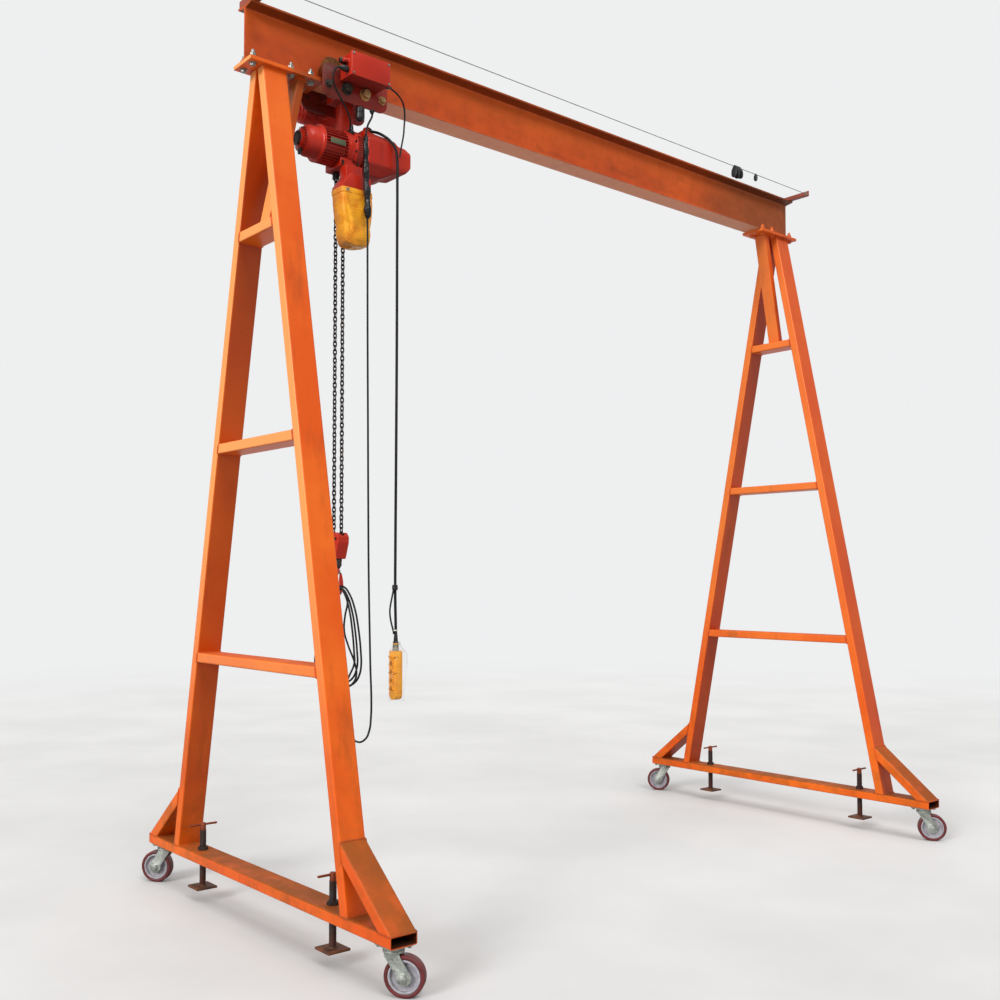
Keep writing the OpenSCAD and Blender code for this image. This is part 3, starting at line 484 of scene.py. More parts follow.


# A-frames: rectangular steel tube, cut, welded and sprayed with orange enamel. The coat has thin
# and heavy patches, dust on its upper faces, scuffs down to primer on edges, and a darker tone low
# down. On the frame it also carries a painted highlight and painted shade, marked below.
def enamel(name, slot, light, deep, worn, grime, gloss=0.34, dirt="#7d4a1d", shine=0.32):
    """Sprayed enamel over welded steel, darker towards the floor and dustier on faces that look up."""
    skin = Finish(name, slot, IOR=1.5, Specular_IOR_Level=shine)
    cloud = skin.grain(1.7, 4, 0.6)
    streak = skin.grain(1.0, 5, 0.62, stretch=(9, 9, 1.6))
    speck = skin.grain(85, 3, 0.7)
    settled = skin.grain(9, 5, 0.66)
    spots = skin.band(speck, 0.66, 0.72) * skin.band(cloud, 0.42, 0.60)
    broken = skin.edges(0.004) * skin.band(skin.grain(28, 4, 0.65), 0.50, 0.60)
    low = skin.band(skin.axis(skin.place, "Z"), 1.05, 0.15)
    up = skin.band(skin.axis(skin.facing, "Z"), 0.12, 0.80)
    dust = up * skin.band(settled, 0.20, 0.58, 0.45, 1.0)
    skin.base(skin.band(cloud, 0.34, 0.68), deep, light)
    skin.coat(skin.band(streak, 0.54, 0.76) * 0.38, grime)
    skin.coat(spots * 0.55, grime)
    skin.coat(broken * 0.75, worn)
    # Darker towards the floor, in patches.
    skin.coat(low * skin.band(settled, 0.40, 0.66) * 0.42, dirt)
    skin.coat(dust * (low * 0.50 + 0.22), dirt)
    rough = skin.band(cloud, 0.3, 0.7, gloss, gloss + 0.10)
    skin.feed("Roughness", rough + dust * 0.38 + broken * 0.2 + spots * 0.15)
    peel = skin.relief(skin.grain(900, 2), 0.00012, 0.35, skin.rounded(0.0025))
    skin.feed("Normal", skin.relief(skin.grain(35, 3), 0.0006, 0.30, peel))
    return skin


orange = enamel("orange frame enamel", "orange_paint", "#ec6c14", "#de5508", "#8d5440", "#69300f",
    dirt="#84460f")
place_x, place_y, place_z = (orange.axis(orange.place, letter) for letter in "XYZ")
# Painted highlight: faces turned to the windows are paled high up and towards the near end, where the light
# on them is brightest.
to_windows = orange.band(orange.axis(orange.facing, "X"), -0.50, -0.95)
painted_highlight_high_up = orange.band(place_z, 0.5, 2.0) * orange.band(place_x, -1.0, 1.0, 0.72, 0.20)
orange.coat(to_windows * painted_highlight_high_up, "#f9ae62")
to_front = orange.band(orange.axis(orange.facing, "Y"), -0.35, -0.90)
# Painted shade: the rear legs' faces that look to the front are darkened high up, where the front legs shade
# them.
rear_leg_painted_shade = orange.band(place_y, 0.02, 0.10)
orange.coat(to_front * rear_leg_painted_shade * orange.band(place_z, 1.8, 3.2, 0.34, 0.68), "#842405")
# Painted shade: the far frame's faces that look to the front are darkened, most low down.
far_frame_painted_shade = orange.band(place_x, 0.6, 1.7)
orange.coat(to_front * far_frame_painted_shade * orange.band(place_z, 0.6, 2.8, 0.55, 0.26), "#a02c08")
settled_dirt = orange.band(orange.axis(orange.facing, "Z"), 0.20, 0.50) * orange.band(place_z, 0.90, 0.65)
orange.coat(settled_dirt * orange.band(orange.grain(6, 5, 0.6), 0.36, 0.62, 0.06, 0.52), "#744008")
# Painted shade: the tops of the near legs and knee struts under the near head plate are darkened.
painted_shade_under_plate = orange.band(place_z, 3.30, 3.60) * orange.band(place_x, -1.85, -1.74)
orange.coat(painted_shade_under_plate * orange.band(place_x, 0, -0.1) * 0.58, "#5a2409")
frame_x, base_middle = 1.88, 0.2075
bore_half_wide, bore_half_high = 0.0563, 0.0188
off_axis = abs(abs(place_x) - frame_x)
off_middle = abs(place_z - base_middle)
in_tube = (1 - (off_axis > bore_half_wide)) * (1 - (off_middle > bore_half_high))
orange.coat(in_tube * 0.88, "#1e0f07")


def dress(finish, *nodes):
    """Puts a finish on CAD nodes whose shape stays as it is."""
    for node in nodes:
        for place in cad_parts[node].material_slots:
            place.link = "OBJECT"
            place.material = finish.material


dress(orange, "base_beams", "near_legs", "far_legs", "rungs", "corner_braces", "knee_struts")


# Welds: fillet beads round every tube end, laid by hand and painted over with the frame. Each
# bead follows the outline of a cut tube end, and its ripples come from the weld pool.
weld_paint = enamel("painted weld", "orange_paint", "#d9560f", "#b8420c", "#7d4a38", "#4a2410", 0.40)


def tube_ends(node, cut):
    """The outer outline of each tube end whose faces pass the test."""
    shell = bmesh.new()
    shell.from_mesh(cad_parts[node].data)
    bmesh.ops.remove_doubles(shell, verts=shell.verts, dist=2e-5)
    faces = {f for f in shell.faces if cut(f.normal, f.calc_center_median())}
    rim = [e for e in shell.edges if sum(f in faces for f in e.link_faces) == 1]
    left, outlines = set(rim), []
    for edge in rim:
        if edge not in left:
            continue
        left.discard(edge)
        first, at = edge.verts
        chain = [first.co.copy(), at.co.copy()]
        while True:
            step = next((e for e in at.link_edges if e in left), None)
            if step is None:
                break
            left.discard(step)
            at = step.other_vert(at)
            chain.append(at.co.copy())
        length = sum((b - a).length for a, b in zip(chain, chain[1:]))
        outlines.append((length, chain))
    shell.free()
    return [chain for length, chain in outlines if length > 0.19]


def tree_with(name, shape, numbers):
    """A new Geometry Nodes tree with named inputs: its web, and those inputs as wires."""
    tree = bpy.data.node_groups.new(name, "GeometryNodeTree")
    face = tree.interface
    face.new_socket(shape, in_out="INPUT", socket_type="NodeSocketGeometry")
    for label, value in numbers.items():
        kind = "NodeSocketInt" if isinstance(value, int) else "NodeSocketFloat"
        face.new_socket(label, in_out="INPUT", socket_type=kind).default_value = value
    face.new_socket("Material", in_out="INPUT", socket_type="NodeSocketMaterial")
    face.new_socket("Made", in_out="OUTPUT", socket_type="NodeSocketGeometry")
    web = Web(tree)
    given = tree.nodes.new("NodeGroupInput")
    return web, {s.name: Wire(web, s) for s in given.outputs if s.name}


def handed_out(web, made, ask):
    """Ends a tree with real geometry that has its material."""
    made = web.node("GeometryNodeRealizeInstances", {}, {"Geometry": made})
    made = web.node("GeometryNodeSetMaterial", {}, {"Geometry": made, "Material": ask["Material"]})
    web.tree.links.new(made.socket, web.tree.nodes.new("NodeGroupOutput").inputs[0])
    return web.tree


def bead_tree():
    """Geometry Nodes: a rippled weld bead along every edge of the outlines."""
    web, ask = tree_with("weld bead", "Outline",
        {"Bead Radius": 0.0042, "Ripple Length": 0.0035, "Ripple Height": 0.0012})
    line = web.node("GeometryNodeMeshToCurve", {}, {"Mesh": ask["Outline"]})
    line = web.node("GeometryNodeResampleCurve", {"mode": "LENGTH"}, {"Curve": line,
        "Length": ask["Ripple Length"]})
    ring = web.node("GeometryNodeCurvePrimitiveCircle", {}, {"Resolution": 6,
        "Radius": ask["Bead Radius"]})
    bead = web.node("GeometryNodeCurveToMesh", {}, {"Curve": line, "Profile Curve": ring})
    ripple = web.node("ShaderNodeTexNoise", {}, {"Vector": web.node("GeometryNodeInputPosition"),
        "Scale": 190.0, "Detail": 1.0})
    push = web.node("ShaderNodeVectorMath", {"operation": "SCALE"}, {
        0: web.node("GeometryNodeInputNormal"), "Scale": (ripple - 0.5) * ask["Ripple Height"] * 2.5})
    bead = web.node("GeometryNodeSetPosition", {}, {"Geometry": bead, "Offset": push})
    bead = web.node("GeometryNodeSetShadeSmooth", {}, {"Geometry": bead})
    return handed_out(web, bead, ask)


def baked(blank):
    """The mesh that an object's modifiers make of it. The object itself goes."""
    blank.update_tag()
    bpy.context.view_layer.update()
    mesh = bpy.data.meshes.new_from_object(blank.evaluated_get(bpy.context.evaluated_depsgraph_get()))
    blank.modifiers.clear()
    bpy.data.objects.remove(blank)
    return mesh


def grown(name, seed_mesh, tree, finish, body, values):
    """Runs a Geometry Nodes tree on a seed mesh and keeps the plain mesh that it makes."""
    seed = put(name + "_seed", seed_mesh)
    work = seed.modifiers.new("made", "NODES")
    work.node_group = tree
    for item in tree.interface.items_tree:
        if item.in_out == "INPUT" and item.name == "Material":
            work[item.identifier] = finish.material
        elif item.in_out == "INPUT" and item.name in values:
            work[item.identifier] = values[item.name]
    mesh = baked(seed)
    mesh.name = name
    return riding(put(name, mesh), body)


outlines = []
for node in ("near_legs", "far_legs"):
    outlines += tube_ends(node, lambda n, c: abs(n.z) > 0.995)
outlines += tube_ends("rungs", lambda n, c: abs(n.y) > 0.5 and abs(n.x) < 0.1)
outlines += tube_ends("corner_braces", lambda n, c: n.z < -0.995 or abs(n.y) > 0.93)
outlines += tube_ends("knee_struts", lambda n, c: abs(n.z) > 0.995)
points, edges = [], []
for chain in outlines:
    start = len(points)
    points += [tuple(p) for p in chain[:-1]]
    count = len(chain) - 1
    edges += [(start + k, start + (k + 1) % count) for k in range(count)]
seams = bpy.data.meshes.new("weld_outlines")
seams.from_pydata(points, edges, [])
grown("frame_welds", seams, bead_tree(), weld_paint, "frame", {})


# Fasteners: zinc-plated hex bolts, nuts and screws, put in by spanner wherever parts come apart.
# Each set is one mesh, with the head, washer, shank and nut of every bolt in it.
def plating(name, slot, light, dark, rough):
    """Zinc plate or galvanising with its crystal spangle and dull patches."""
    skin = Finish(name, slot, Metallic=0.85)
    spangle = skin.node("ShaderNodeTexVoronoi", {}, {"Vector": skin.place, "Scale": 150.0,
        "Randomness": 1.0}, "Color")
    flake = skin.axis(spangle, "X")
    cloud = skin.grain(22, 4)
    skin.base(skin.band(flake, 0.0, 1.0) * 0.6 + skin.band(cloud, 0.3, 0.7) * 0.4, dark, light)
    skin.coat(skin.band(skin.grain(48, 5, 0.7), 0.62, 0.74) * 0.45, "#6b4630")
    skin.feed("Roughness", skin.band(cloud, 0.3, 0.7, rough, rough + 0.18) + flake * 0.08)
    skin.feed("Normal", skin.relief(cloud, 0.0004, 0.3, skin.rounded(0.0008)))
    return skin


zinc = plating("zinc plate", "galvanised", "#aeb0aa", "#6f726d", 0.34)


def fastener_tree():
    """Geometry Nodes: a hex head, washer, shank and end nut at every seed point."""
    web, ask = tree_with("fastener", "Seats", {"Across Flats": 0.010, "Head Height": 0.006,
        "Shank Diameter": 0.006, "Shank Length": 0.008, "Washer": 0.0, "Nut Place": 0.0,
        "Nut Height": 0.0, "Sides": 6})

    def disc(sides, radius, top, height, middle):
        made = web.node("GeometryNodeMeshCone", {}, {"Vertices": sides, "Radius Top": top,
            "Radius Bottom": radius, "Depth": height})
        at = web.node("ShaderNodeCombineXYZ", {}, {"Z": middle})
        return web.node("GeometryNodeTransform", {}, {"Geometry": made, "Translation": at})

    corner = ask["Across Flats"] * 0.577
    parts = [
        disc(ask["Sides"], corner, corner * 0.93, ask["Head Height"], ask["Washer"]),
        disc(20, ask["Across Flats"] * 0.72, ask["Across Flats"] * 0.72, ask["Washer"], 0.0),
        disc(12, ask["Shank Diameter"] * 0.5, ask["Shank Diameter"] * 0.47, ask["Shank Length"],
            ask["Shank Length"] * -1.0),
        disc(6, corner, corner * 0.93, ask["Nut Height"], ask["Nut Place"] * -1.0)]
    joined = web.tree.nodes.new("GeometryNodeJoinGeometry")
    for part in parts:
        web.tree.links.new(part.socket, joined.inputs[0])
    way = web.node("GeometryNodeInputNamedAttribute", {"data_type": "FLOAT_VECTOR"}, {"Name": "way"})
    turned = web.node("FunctionNodeAlignRotationToVector", {"axis": "Z"}, {"Vector": way})
    placed = web.node("GeometryNodeInstanceOnPoints", {}, {"Points": ask["Seats"],
        "Instance": Wire(web, joined.outputs[0]), "Rotation": turned})
    return handed_out(web, placed, ask)


fastener = fastener_tree()


def bolted(name, seats, body, finish, flats, head, shank, length, washer=0.0, nut=0.0, nut_at=0.0, sides=6):
    """Fasteners at a list of (seat point, outward direction)."""
    mesh = bpy.data.meshes.new(name + "_seats")
    mesh.from_pydata([tuple(s[0]) for s in seats], [], [])
    way = mesh.attributes.new("way", "FLOAT_VECTOR", "POINT")
    for item, seat in zip(way.data, seats):
        item.vector = seat[1]
    grown(name, mesh, fastener, finish, body, {"Across Flats": flats, "Head Height": head,
        "Shank Diameter": shank, "Shank Length": length, "Washer": washer, "Nut Height": nut,
        "Nut Place": nut_at, "Sides": sides})


# Head plates: 16 mm plates welded on the legs and struts, with bolts up through them and the
# beam's lower flange. The threads stand out of their nuts, and the far ones are painted over.
dress(orange, "head_plates")
plate_underside = 3.690
for end, side, coating in (("near", -1, zinc), ("far", 1, orange)):
    seats = [((side * x, row * 0.040, plate_underside), (0, 0, -1))
        for x in (1.980, 1.791, 1.690) for row in (-1, 1)]
    bolted("head_plate_bolts_" + end, seats, "frame", coating, 0.024, 0.010, 0.016, 0.056,
        washer=0.003, nut=0.013, nut_at=0.0415)


# Main beam: rolled I-section, 250 by 116 mm, painted with the frame but older and grimier. The
# lower flange's running face is worn where the trolley's wheels run, and rust bleeds at its edges.
# Painted shade darkens the web under the top flange, painted light brightens the upper web, and a
# painted reflection pales the lower flange's underside.
def beam_paint(name):
    """Old enamel in patches, dark with grime by its edges and bare where the wheels run,
    with painted shade under the top flange, painted light on the upper web and a painted
    reflection under the lower flange.
    """
    skin = Finish(name, IOR=1.5, Specular_IOR_Level=0.30)
    cloud = skin.grain(1.4, 5, 0.62)
    mottle = skin.grain(14, 5, 0.68)
    streak = skin.grain(1.0, 5, 0.6, stretch=(2.2, 8, 12))
    height = skin.axis(skin.place, "Z")
    farther = skin.band(skin.axis(skin.place, "X"), 0.85, 1.6)
    painted_shade_under_flange = skin.band(height, 3.925, 3.950)
    down = skin.band(skin.axis(skin.facing, "Z"), -0.7, -0.97)
    # Painted reflection: the lower flange's underside is paled near the trolley, as lit by light from below.
    painted_reflection_underside = skin.band(height, 3.75, 3.72) * down
    up = skin.band(skin.axis(skin.facing, "Z"), 0.6, 0.97)
    rail = up * skin.band(height, 3.76, 3.74) * skin.band(skin.grain(30, 4), 0.4, 0.6)
    top = up * skin.band(height, 3.94, 3.96)
    broken = skin.edges(0.005) * skin.band(skin.grain(20, 5, 0.7), 0.46, 0.58)
    skin.base(skin.band(cloud, 0.35, 0.66), "#b9440c", "#d35812")
    skin.coat(skin.band(mottle, 0.42, 0.72) * 0.40, "#8f3a10")
    skin.coat(skin.band(streak, 0.50, 0.74) * 0.36, "#5f2f10")
    skin.coat(farther * skin.band(mottle, 0.15, 0.5, 0.35, 0.75), "#7a4012")
    # Painted light: the upper web is brightened, less towards the far end, against the shade that the top
    # flange casts.
    skin.coat(skin.band(height, 3.80, 3.93) * (1 - farther * 0.7) * 0.45, "#ea6a1c")
    # Painted shade: the web just under the top flange and the flange's underside are darkened.
    skin.coat(painted_shade_under_flange * skin.band(mottle, 0.10, 0.62, 0.10, 0.50), "#54290c")
    skin.coat(down * skin.band(height, 3.9, 3.94) * 0.6, "#3a1d08")
    skin.coat(painted_reflection_underside * skin.band(mottle, 0.3, 0.6, 0.50, 0.75), "#eea983")
    skin.coat(rail * 0.6, "#6d5c50")
    skin.coat(top * 0.6, "#8a6f57")
    skin.coat(broken * 0.85, "#4a2a1c")
    skin.feed("Roughness", skin.band(mottle, 0.3, 0.7, 0.42, 0.60) + top * 0.2 + rail * -0.12)
    skin.feed("Normal", skin.relief(skin.grain(120, 4, 0.6), 0.0005, 0.45, skin.rounded(0.003)))
    return skin


dress(beam_paint("old beam enamel"), "main_beam")


# Guide wire: a thin galvanised wire strained between two angle irons across the beam's ends, with
# the flat clips of a cable run bunched at its far end. Eye nuts hold the wire at each angle.
def black_steel(name, slot):
    """Mill-finished steel, dark with scale and a bloom of rust."""
    skin = Finish(name, slot, Metallic=0.55)
    cloud = skin.grain(18, 5, 0.65)
    fine = skin.grain(160, 4, 0.6)
    skin.base(skin.band(fine, 0.35, 0.7), "#2b2827", "#4c4642")
    skin.coat(skin.band(cloud, 0.50, 0.66) * 0.75, "#6a3f28")
    skin.feed("Roughness", skin.band(cloud, 0.3, 0.7, 0.45, 0.8))
    skin.feed("Normal", skin.relief(fine, 0.0005, 0.5, skin.rounded(0.0012)))
    return skin


scale_steel = black_steel("dark mill steel", "dark_steel")
dress(enamel("worn red oxide", None, "#a3523f", "#7f3a2b", "#4a3a33", "#33211a", 0.45), "cross_angles")
dress(zinc, "guide_wire")


def eased(name, node, width, finish, body, steps=2, corner=40):
    """A merged copy of a CAD node with every hard edge broken by a small round."""
    shell = bmesh.new()
    shell.from_mesh(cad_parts[node].data)
    bmesh.ops.remove_doubles(shell, verts=shell.verts, dist=2e-5)
    bmesh.ops.dissolve_limit(shell, angle_limit=math.radians(0.6), verts=shell.verts, edges=shell.edges)
    rough = put(name + "_blank", meshed(shell, name))
    tool = rough.modifiers.new("eased edges", "BEVEL")
    tool.width = width
    tool.segments = steps
    tool.limit_method = "ANGLE"
    tool.angle_limit = math.radians(corner)
    tool.miter_outer = "MITER_ARC"
    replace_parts(piece(name, baked(rough), finish, body, 38), node)


def moulded(name, slot, light, dark, gloss):
    """Injection-moulded plastic with a fine spark texture and handling marks."""
    skin = Finish(name, slot, IOR=1.48)
    cloud = skin.grain(26, 4)
    marks = skin.band(skin.grain(70, 5, 0.7, stretch=(1, 1, 0.35)), 0.60, 0.72)
    skin.base(skin.band(cloud, 0.3, 0.7), dark, light)
    skin.coat(marks * 0.35, "#57503f" if gloss > 0.3 else "#3b3a38")
    skin.feed("Roughness", skin.band(cloud, 0.3, 0.7, gloss, gloss + 0.14) + marks * 0.2)
    skin.feed("Normal", skin.relief(skin.grain(1400, 2), 0.00012, 0.35, skin.rounded(0.0008)))
    return skin


black_mould = moulded("black moulding", "black_plastic", "#1b1b1c", "#121213", 0.30)
wire_y, wire_z, clips_x = -0.165, 3.9735, 1.226
clip_half = [(0.000, 0.0075), (0.005, 0.0065), (0.010, -0.002), (0.0175, -0.019), (0.0190, -0.030),
    (0.0180, -0.050), (0.0130, -0.062), (0.0060, -0.067), (0.000, -0.068)]
clip_layers = [(-0.0046, 0.82), (-0.0036, 1.0), (0.0036, 1.0), (0.0046, 0.82)]
clips = bmesh.new()
for across, size, lean in ((0.0048, 1.0, -0.10), (0.0180, 0.94, 0.02), (0.0305, 1.02, -0.04),
        (0.0435, 0.96, 0.06), (0.0570, 0.90, 0.16), (0.2168, 0.62, 0.0)):
    ring = [(y * size, z * size) for y, z in clip_half + [(-y, z) for y, z in clip_half[-2:0:-1]]]
    skinned(clips, [[clips.verts.new((clips_x + across + x - lean * z, wire_y + y * trim,
        wire_z + (z + 0.03 * size) * trim - 0.03 * size)) for y, z in ring] for x, trim in clip_layers])
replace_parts(piece("bunched_cable_clips", meshed(clips, "clips", outward=True), black_mould, "frame", 40),
    "cable_clips")
bolted("wire_eye_nuts", [((s * 1.9945, wire_y, wire_z), (s, 0, 0)) for s in (-1, 1)], "frame", zinc,
    0.013, 0.006, 0.008, 0.010)


# Casters: pressed and galvanised swivel forks on ball races, with cast wheels that carry a thin
# burgundy tread. Each top plate is bolted under the end of a base beam.
galvanised = plating("galvanised pressing", "galvanised", "#b9bdb6", "#868c84", 0.36)


def casting(name, slot):
    """Painted cast iron: pale, granular, chipped on its rim and dirty in its dish."""
    skin = Finish(name, slot, IOR=1.5)
    cloud = skin.grain(40, 4)
    chipped = skin.edges(0.002) * skin.band(skin.grain(120, 4), 0.45, 0.6)
    grease = skin.band(skin.grain(55, 5, 0.7), 0.58, 0.72)
    skin.base(skin.band(cloud, 0.3, 0.7), "#8b888f", "#aaa7ad")
    skin.coat(grease * 0.6, "#5a534c")
    skin.coat(chipped * 0.7, "#5b4a40")
    skin.feed("Roughness", skin.band(cloud, 0.3, 0.7, 0.42, 0.6))
    skin.feed("Normal", skin.relief(skin.grain(600, 3, 0.6), 0.0003, 0.4, skin.rounded(0.001)))
    return skin


def tread(name, slot):
    """Cast polyurethane tread: burgundy, with a scuffed and dusty running face."""
    skin = Finish(name, slot, IOR=1.5)
    cloud = skin.grain(35, 5, 0.65)
    fine = skin.grain(500, 3)
    skin.base(skin.band(cloud, 0.35, 0.7), "#4f1215", "#6e1d1d")
    skin.coat(skin.band(fine, 0.5, 0.8) * 0.35, "#82685a")
    skin.feed("Roughness", skin.band(cloud, 0.3, 0.7, 0.38, 0.62))
    skin.feed("Normal", skin.relief(fine, 0.0003, 0.4))
    return skin


pale_casting = casting("pale cast core", "cast_core")
burgundy = tread("burgundy tread", "burgundy_tread")
corners = {"near_front": (-1, -1), "near_rear": (-1, 1), "far_front": (1, -1), "far_rear": (1, 1)}
eased("caster_top_plates", "caster_plates", 0.0012, galvanised, "frame")
for corner in corners:
    eased("caster_fork_" + corner, "fork_" + corner, 0.0012, galvanised, "caster_" + corner)
    eased("wheel_core_" + corner, "core_" + corner, 0.0022, pale_casting, "wheel_" + corner, steps=3)
    eased("wheel_tread_" + corner, "tyre_" + corner, 0.0050, burgundy, "wheel_" + corner, steps=4)


# Screw jacks: 30 mm threaded bars in nuts welded on the base beams, wound down by a tommy bar to
# lift the casters off the floor. Each stands on a square foot plate that has rusted.
def rusted(name, slot, steel, rust, bare):
    """Bare steel that has rusted, brown where it is worst and dark where it is handled."""
    skin = Finish(name, slot, Metallic=0.25)
    cloud = skin.grain(24, 6, 0.68)
    fine = skin.grain(210, 4, 0.65)
    skin.base(skin.band(cloud, 0.38, 0.62), steel, rust)
    skin.coat(skin.band(fine, 0.52, 0.72) * 0.5, "#2c1a12")
    skin.coat(skin.edges(0.002) * skin.band(cloud, 0.5, 0.35) * 0.6, bare)
    skin.feed("Roughness", skin.band(cloud, 0.3, 0.7, 0.55, 0.85))
    skin.feed("Normal", skin.relief(fine, 0.0006, 0.6, skin.rounded(0.0008)))
    return skin


jack_steel = rusted("dark threaded steel", "dark_steel", "#231d1c", "#3c241c", "#6f6760")
jack_z = jack_steel.axis(jack_steel.place, "Z")
jack_steel.coat(jack_steel.band(jack_z, 0.319, 0.324) * 0.75, "#94401a")
jack_steel.coat(jack_steel.band(jack_z, 0.165, 0.085) * 0.60, "#5e2c1a")
foot_rust = rusted("rusty foot plate", "rusty_plate", "#4f3325", "#7d4a2b", "#8c6f5b")


def threaded_screw(x, y):
    """Thread, turned head and tommy bar of one jack as closed shells in one mesh."""
    sides, pitch, steps_a_turn, bottom, top = 24, 0.005, 5, 0.068, 0.322
    root, depth = 0.0133, 0.0017
    shell = bmesh.new()
    rings = []
    for step in range(int((top - bottom) / (pitch / steps_a_turn)) + 1):
        z = bottom + step * pitch / steps_a_turn
        ring = []
        for k, angle in enumerate(full_turn(sides)):
            wave = abs(((z / pitch - k / sides) % 1.0) * 2 - 1)
            r = root + depth * min(1.0, max(0.0, wave * 1.8 - 0.4))
            ring.append(shell.verts.new((x + r * math.cos(angle), y + r * math.sin(angle), z)))
        rings.append(ring)
    skinned(shell, rings)
    shell.from_mesh(lathe([
        ((x, y, 0.3215), (0, 0, 1), [(0, 0.0120), (0.002, 0.0130), (0.028, 0.0130), (0.0325, 0.0105)]),
        ((x - 0.070, y, 0.346), (1, 0, 0), [(0, 0.0030), (0.002, 0.0050), (0.138, 0.0050),
            (0.140, 0.0030)])], 24))
    return meshed(shell, "screw")


def hex_nut(shell, x, y):
    """A chamfered hex nut with its bore, added to a mesh in the making."""
    low, high, flats, bore, sides = 0.2298, 0.2450, 0.041, 0.0155, 36
    bevel = (high - low) * 0.12

    def reach(angle, chamfer):
        lean = (angle + math.pi / 6) % (math.pi / 3) - math.pi / 6
        return min(flats / 2 / math.cos(lean), flats * 0.577 * chamfer)

    rows = [(low, None), (low, 0.95), (low + bevel, 2), (high - bevel, 2), (high, 0.95), (high, None)]
    rings = []
    for z, chamfer in rows:
        ring = []
        for angle in full_turn(sides):
            r = bore if chamfer is None else reach(angle, chamfer)
            ring.append(shell.verts.new((x + r * math.cos(angle), y + r * math.sin(angle), z)))
        rings.append(ring)
    skinned(shell, rings + [rings[0]], capped=False)


jack_y = 0.545
nuts = bmesh.new()
for corner, (end, side) in corners.items():
    x, y = end * frame_x, side * jack_y
    screw = piece("jack_screw_" + corner, threaded_screw(x, y), jack_steel, "jack_" + corner, 40)
    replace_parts(screw, "screw_" + corner)
    eased("jack_foot_" + corner, "foot_" + corner, 0.0020, foot_rust, "jack_" + corner)
    piece("jack_foot_weld_" + corner, lathe([((x, y, 0.0675), (0, 0, 1), [(0, 0.0205), (0.002, 0.0200),
        (0.0045, 0.0178), (0.0065, 0.0152), (0.007, 0.0132)])], 28), foot_rust, "jack_" + corner, 60)
    hex_nut(nuts, x, y)
piece("jack_nuts", meshed(nuts, "nuts", outward=True), jack_steel, "frame", 40)


# Trolley: two red side plates joined by cross shafts, with four coned wheels on the beam's lower
# flange, a travel motor behind, and greasy running parts. The shaft nuts are zinc plated.
red = enamel("red hoist enamel", "red_paint", "#cc3119", "#b0220e", "#6e2a22", "#4a130a", 0.28,
    "#5a2116", 0.34)
# Painted shade: faces that look down are darkened, as in the shade under them.
beneath = red.band(red.axis(red.facing, "Z"), -0.45, -0.90)
red.coat(beneath * 0.55, "#4a0d08")
red.feed("Roughness", red.now("Roughness") + beneath * 0.45)
greased_red = enamel("greased red enamel", "red_paint", "#b02b1a", "#86190e", "#4a2a22", "#1f0c07", 0.30,
    "#24110b", 0.34)
near_side = greased_red.band(greased_red.axis(greased_red.place, "X"), park + 0.07, park - 0.10)
greased_red.coat(near_side * 0.62, "#321a0f")
# Painted light: a lighter copy of the hoist red for the travel drive, which stands in the shade of the legs
# and head plate.
drive_red_painted_light = enamel("travel drive enamel", "red_paint", "#dc4234", "#c22e20", "#6e2a22", "#4a130a", 0.28,
    "#5a2116", 0.34)
greasy = plating("greasy machined steel", "galvanised", "#57514a", "#2a2622", 0.34)
oily = plating("oily running wheel", "dark_steel", "#86532a", "#4c2d18", 0.42)
brass = plating("yellow passivated steel", "galvanised", "#d8b27c", "#94744a", 0.28)
eased("trolley_side_plates", "trolley_plates", 0.0016, greased_red, "trolley")
eased("trolley_running_wheels", "trolley_wheels", 0.0014, oily, "trolley")
eased("trolley_travel_drive", "trolley_drive", 0.0045, drive_red_painted_light, "trolley", steps=3)
eased("hoist_suspension_block", "hoist_yoke", 0.0040, red, "trolley", steps=3)
plate_face, shaft_z = 0.0950, 3.682
for side, shine, metal in ((1, "bright", brass), (-1, "greased", greasy)):
    bolted("trolley_shaft_nuts_" + shine, [((park + side * 0.049, s * plate_face, shaft_z), (0, s, 0))
        for s in (-1, 1)], "trolley", metal, 0.0385, 0.020, 0.024, 0.012, washer=0.004)
    bolted("trolley_frame_bolts_" + shine, [((park + side * 0.145, s * plate_face, shaft_z), (0, s, 0))
        for s in (-1, 1)], "trolley", metal, 0.0265, 0.0130, 0.016, 0.012, washer=0.003)
bolted("drive_cover_screws", [((park + x, 0.2030, z), (0, 1, 0)) for x in (-0.012, 0.070)
    for z in (3.602, 3.664, 3.720)], "trolley", zinc, 0.010, 0.005, 0.006, 0.008)
fin_pitch = 0.0072
motor_fins = [(0.0, 0.0415), (0.001, 0.0440)]
for k in range(14):
    start = 0.006 + k * fin_pitch
    motor_fins += [(start, 0.0440), (start + 0.0005, 0.0490), (start + 0.0026, 0.0490),
        (start + 0.0031, 0.0440)]
piece("travel_motor_fins", lathe([((park - 0.140, 0.157, 3.638), (1, 0, 0), motor_fins)], 40), drive_red_painted_light,
    "trolley", 30)


# Control box: a red pressed-steel box on the front side plate, its lid held by four screws, with
# black cable glands at both ends and the inlet plug of the power cable beneath it.
def soft_boxes(name, boxes, steps=3):
    """Boxes with all their edges rounded in one mesh, each from (low corner, high corner, radius)."""
    shell = bmesh.new()
    for low, high, radius in boxes:
        blank = bmesh.new()
        bmesh.ops.create_cube(blank, size=1)
        for v in blank.verts:
            v.co = Vector([(a + b) / 2 + c * (b - a) for a, b, c in zip(low, high, v.co)])
        bmesh.ops.bevel(blank, geom=blank.edges[:] + blank.verts[:], offset=radius, segments=steps,
            affect="EDGES", profile=0.5)
        box = meshed(blank, "box", outward=True)
        shell.from_mesh(box)
        bpy.data.meshes.remove(box)
    return meshed(shell, name)


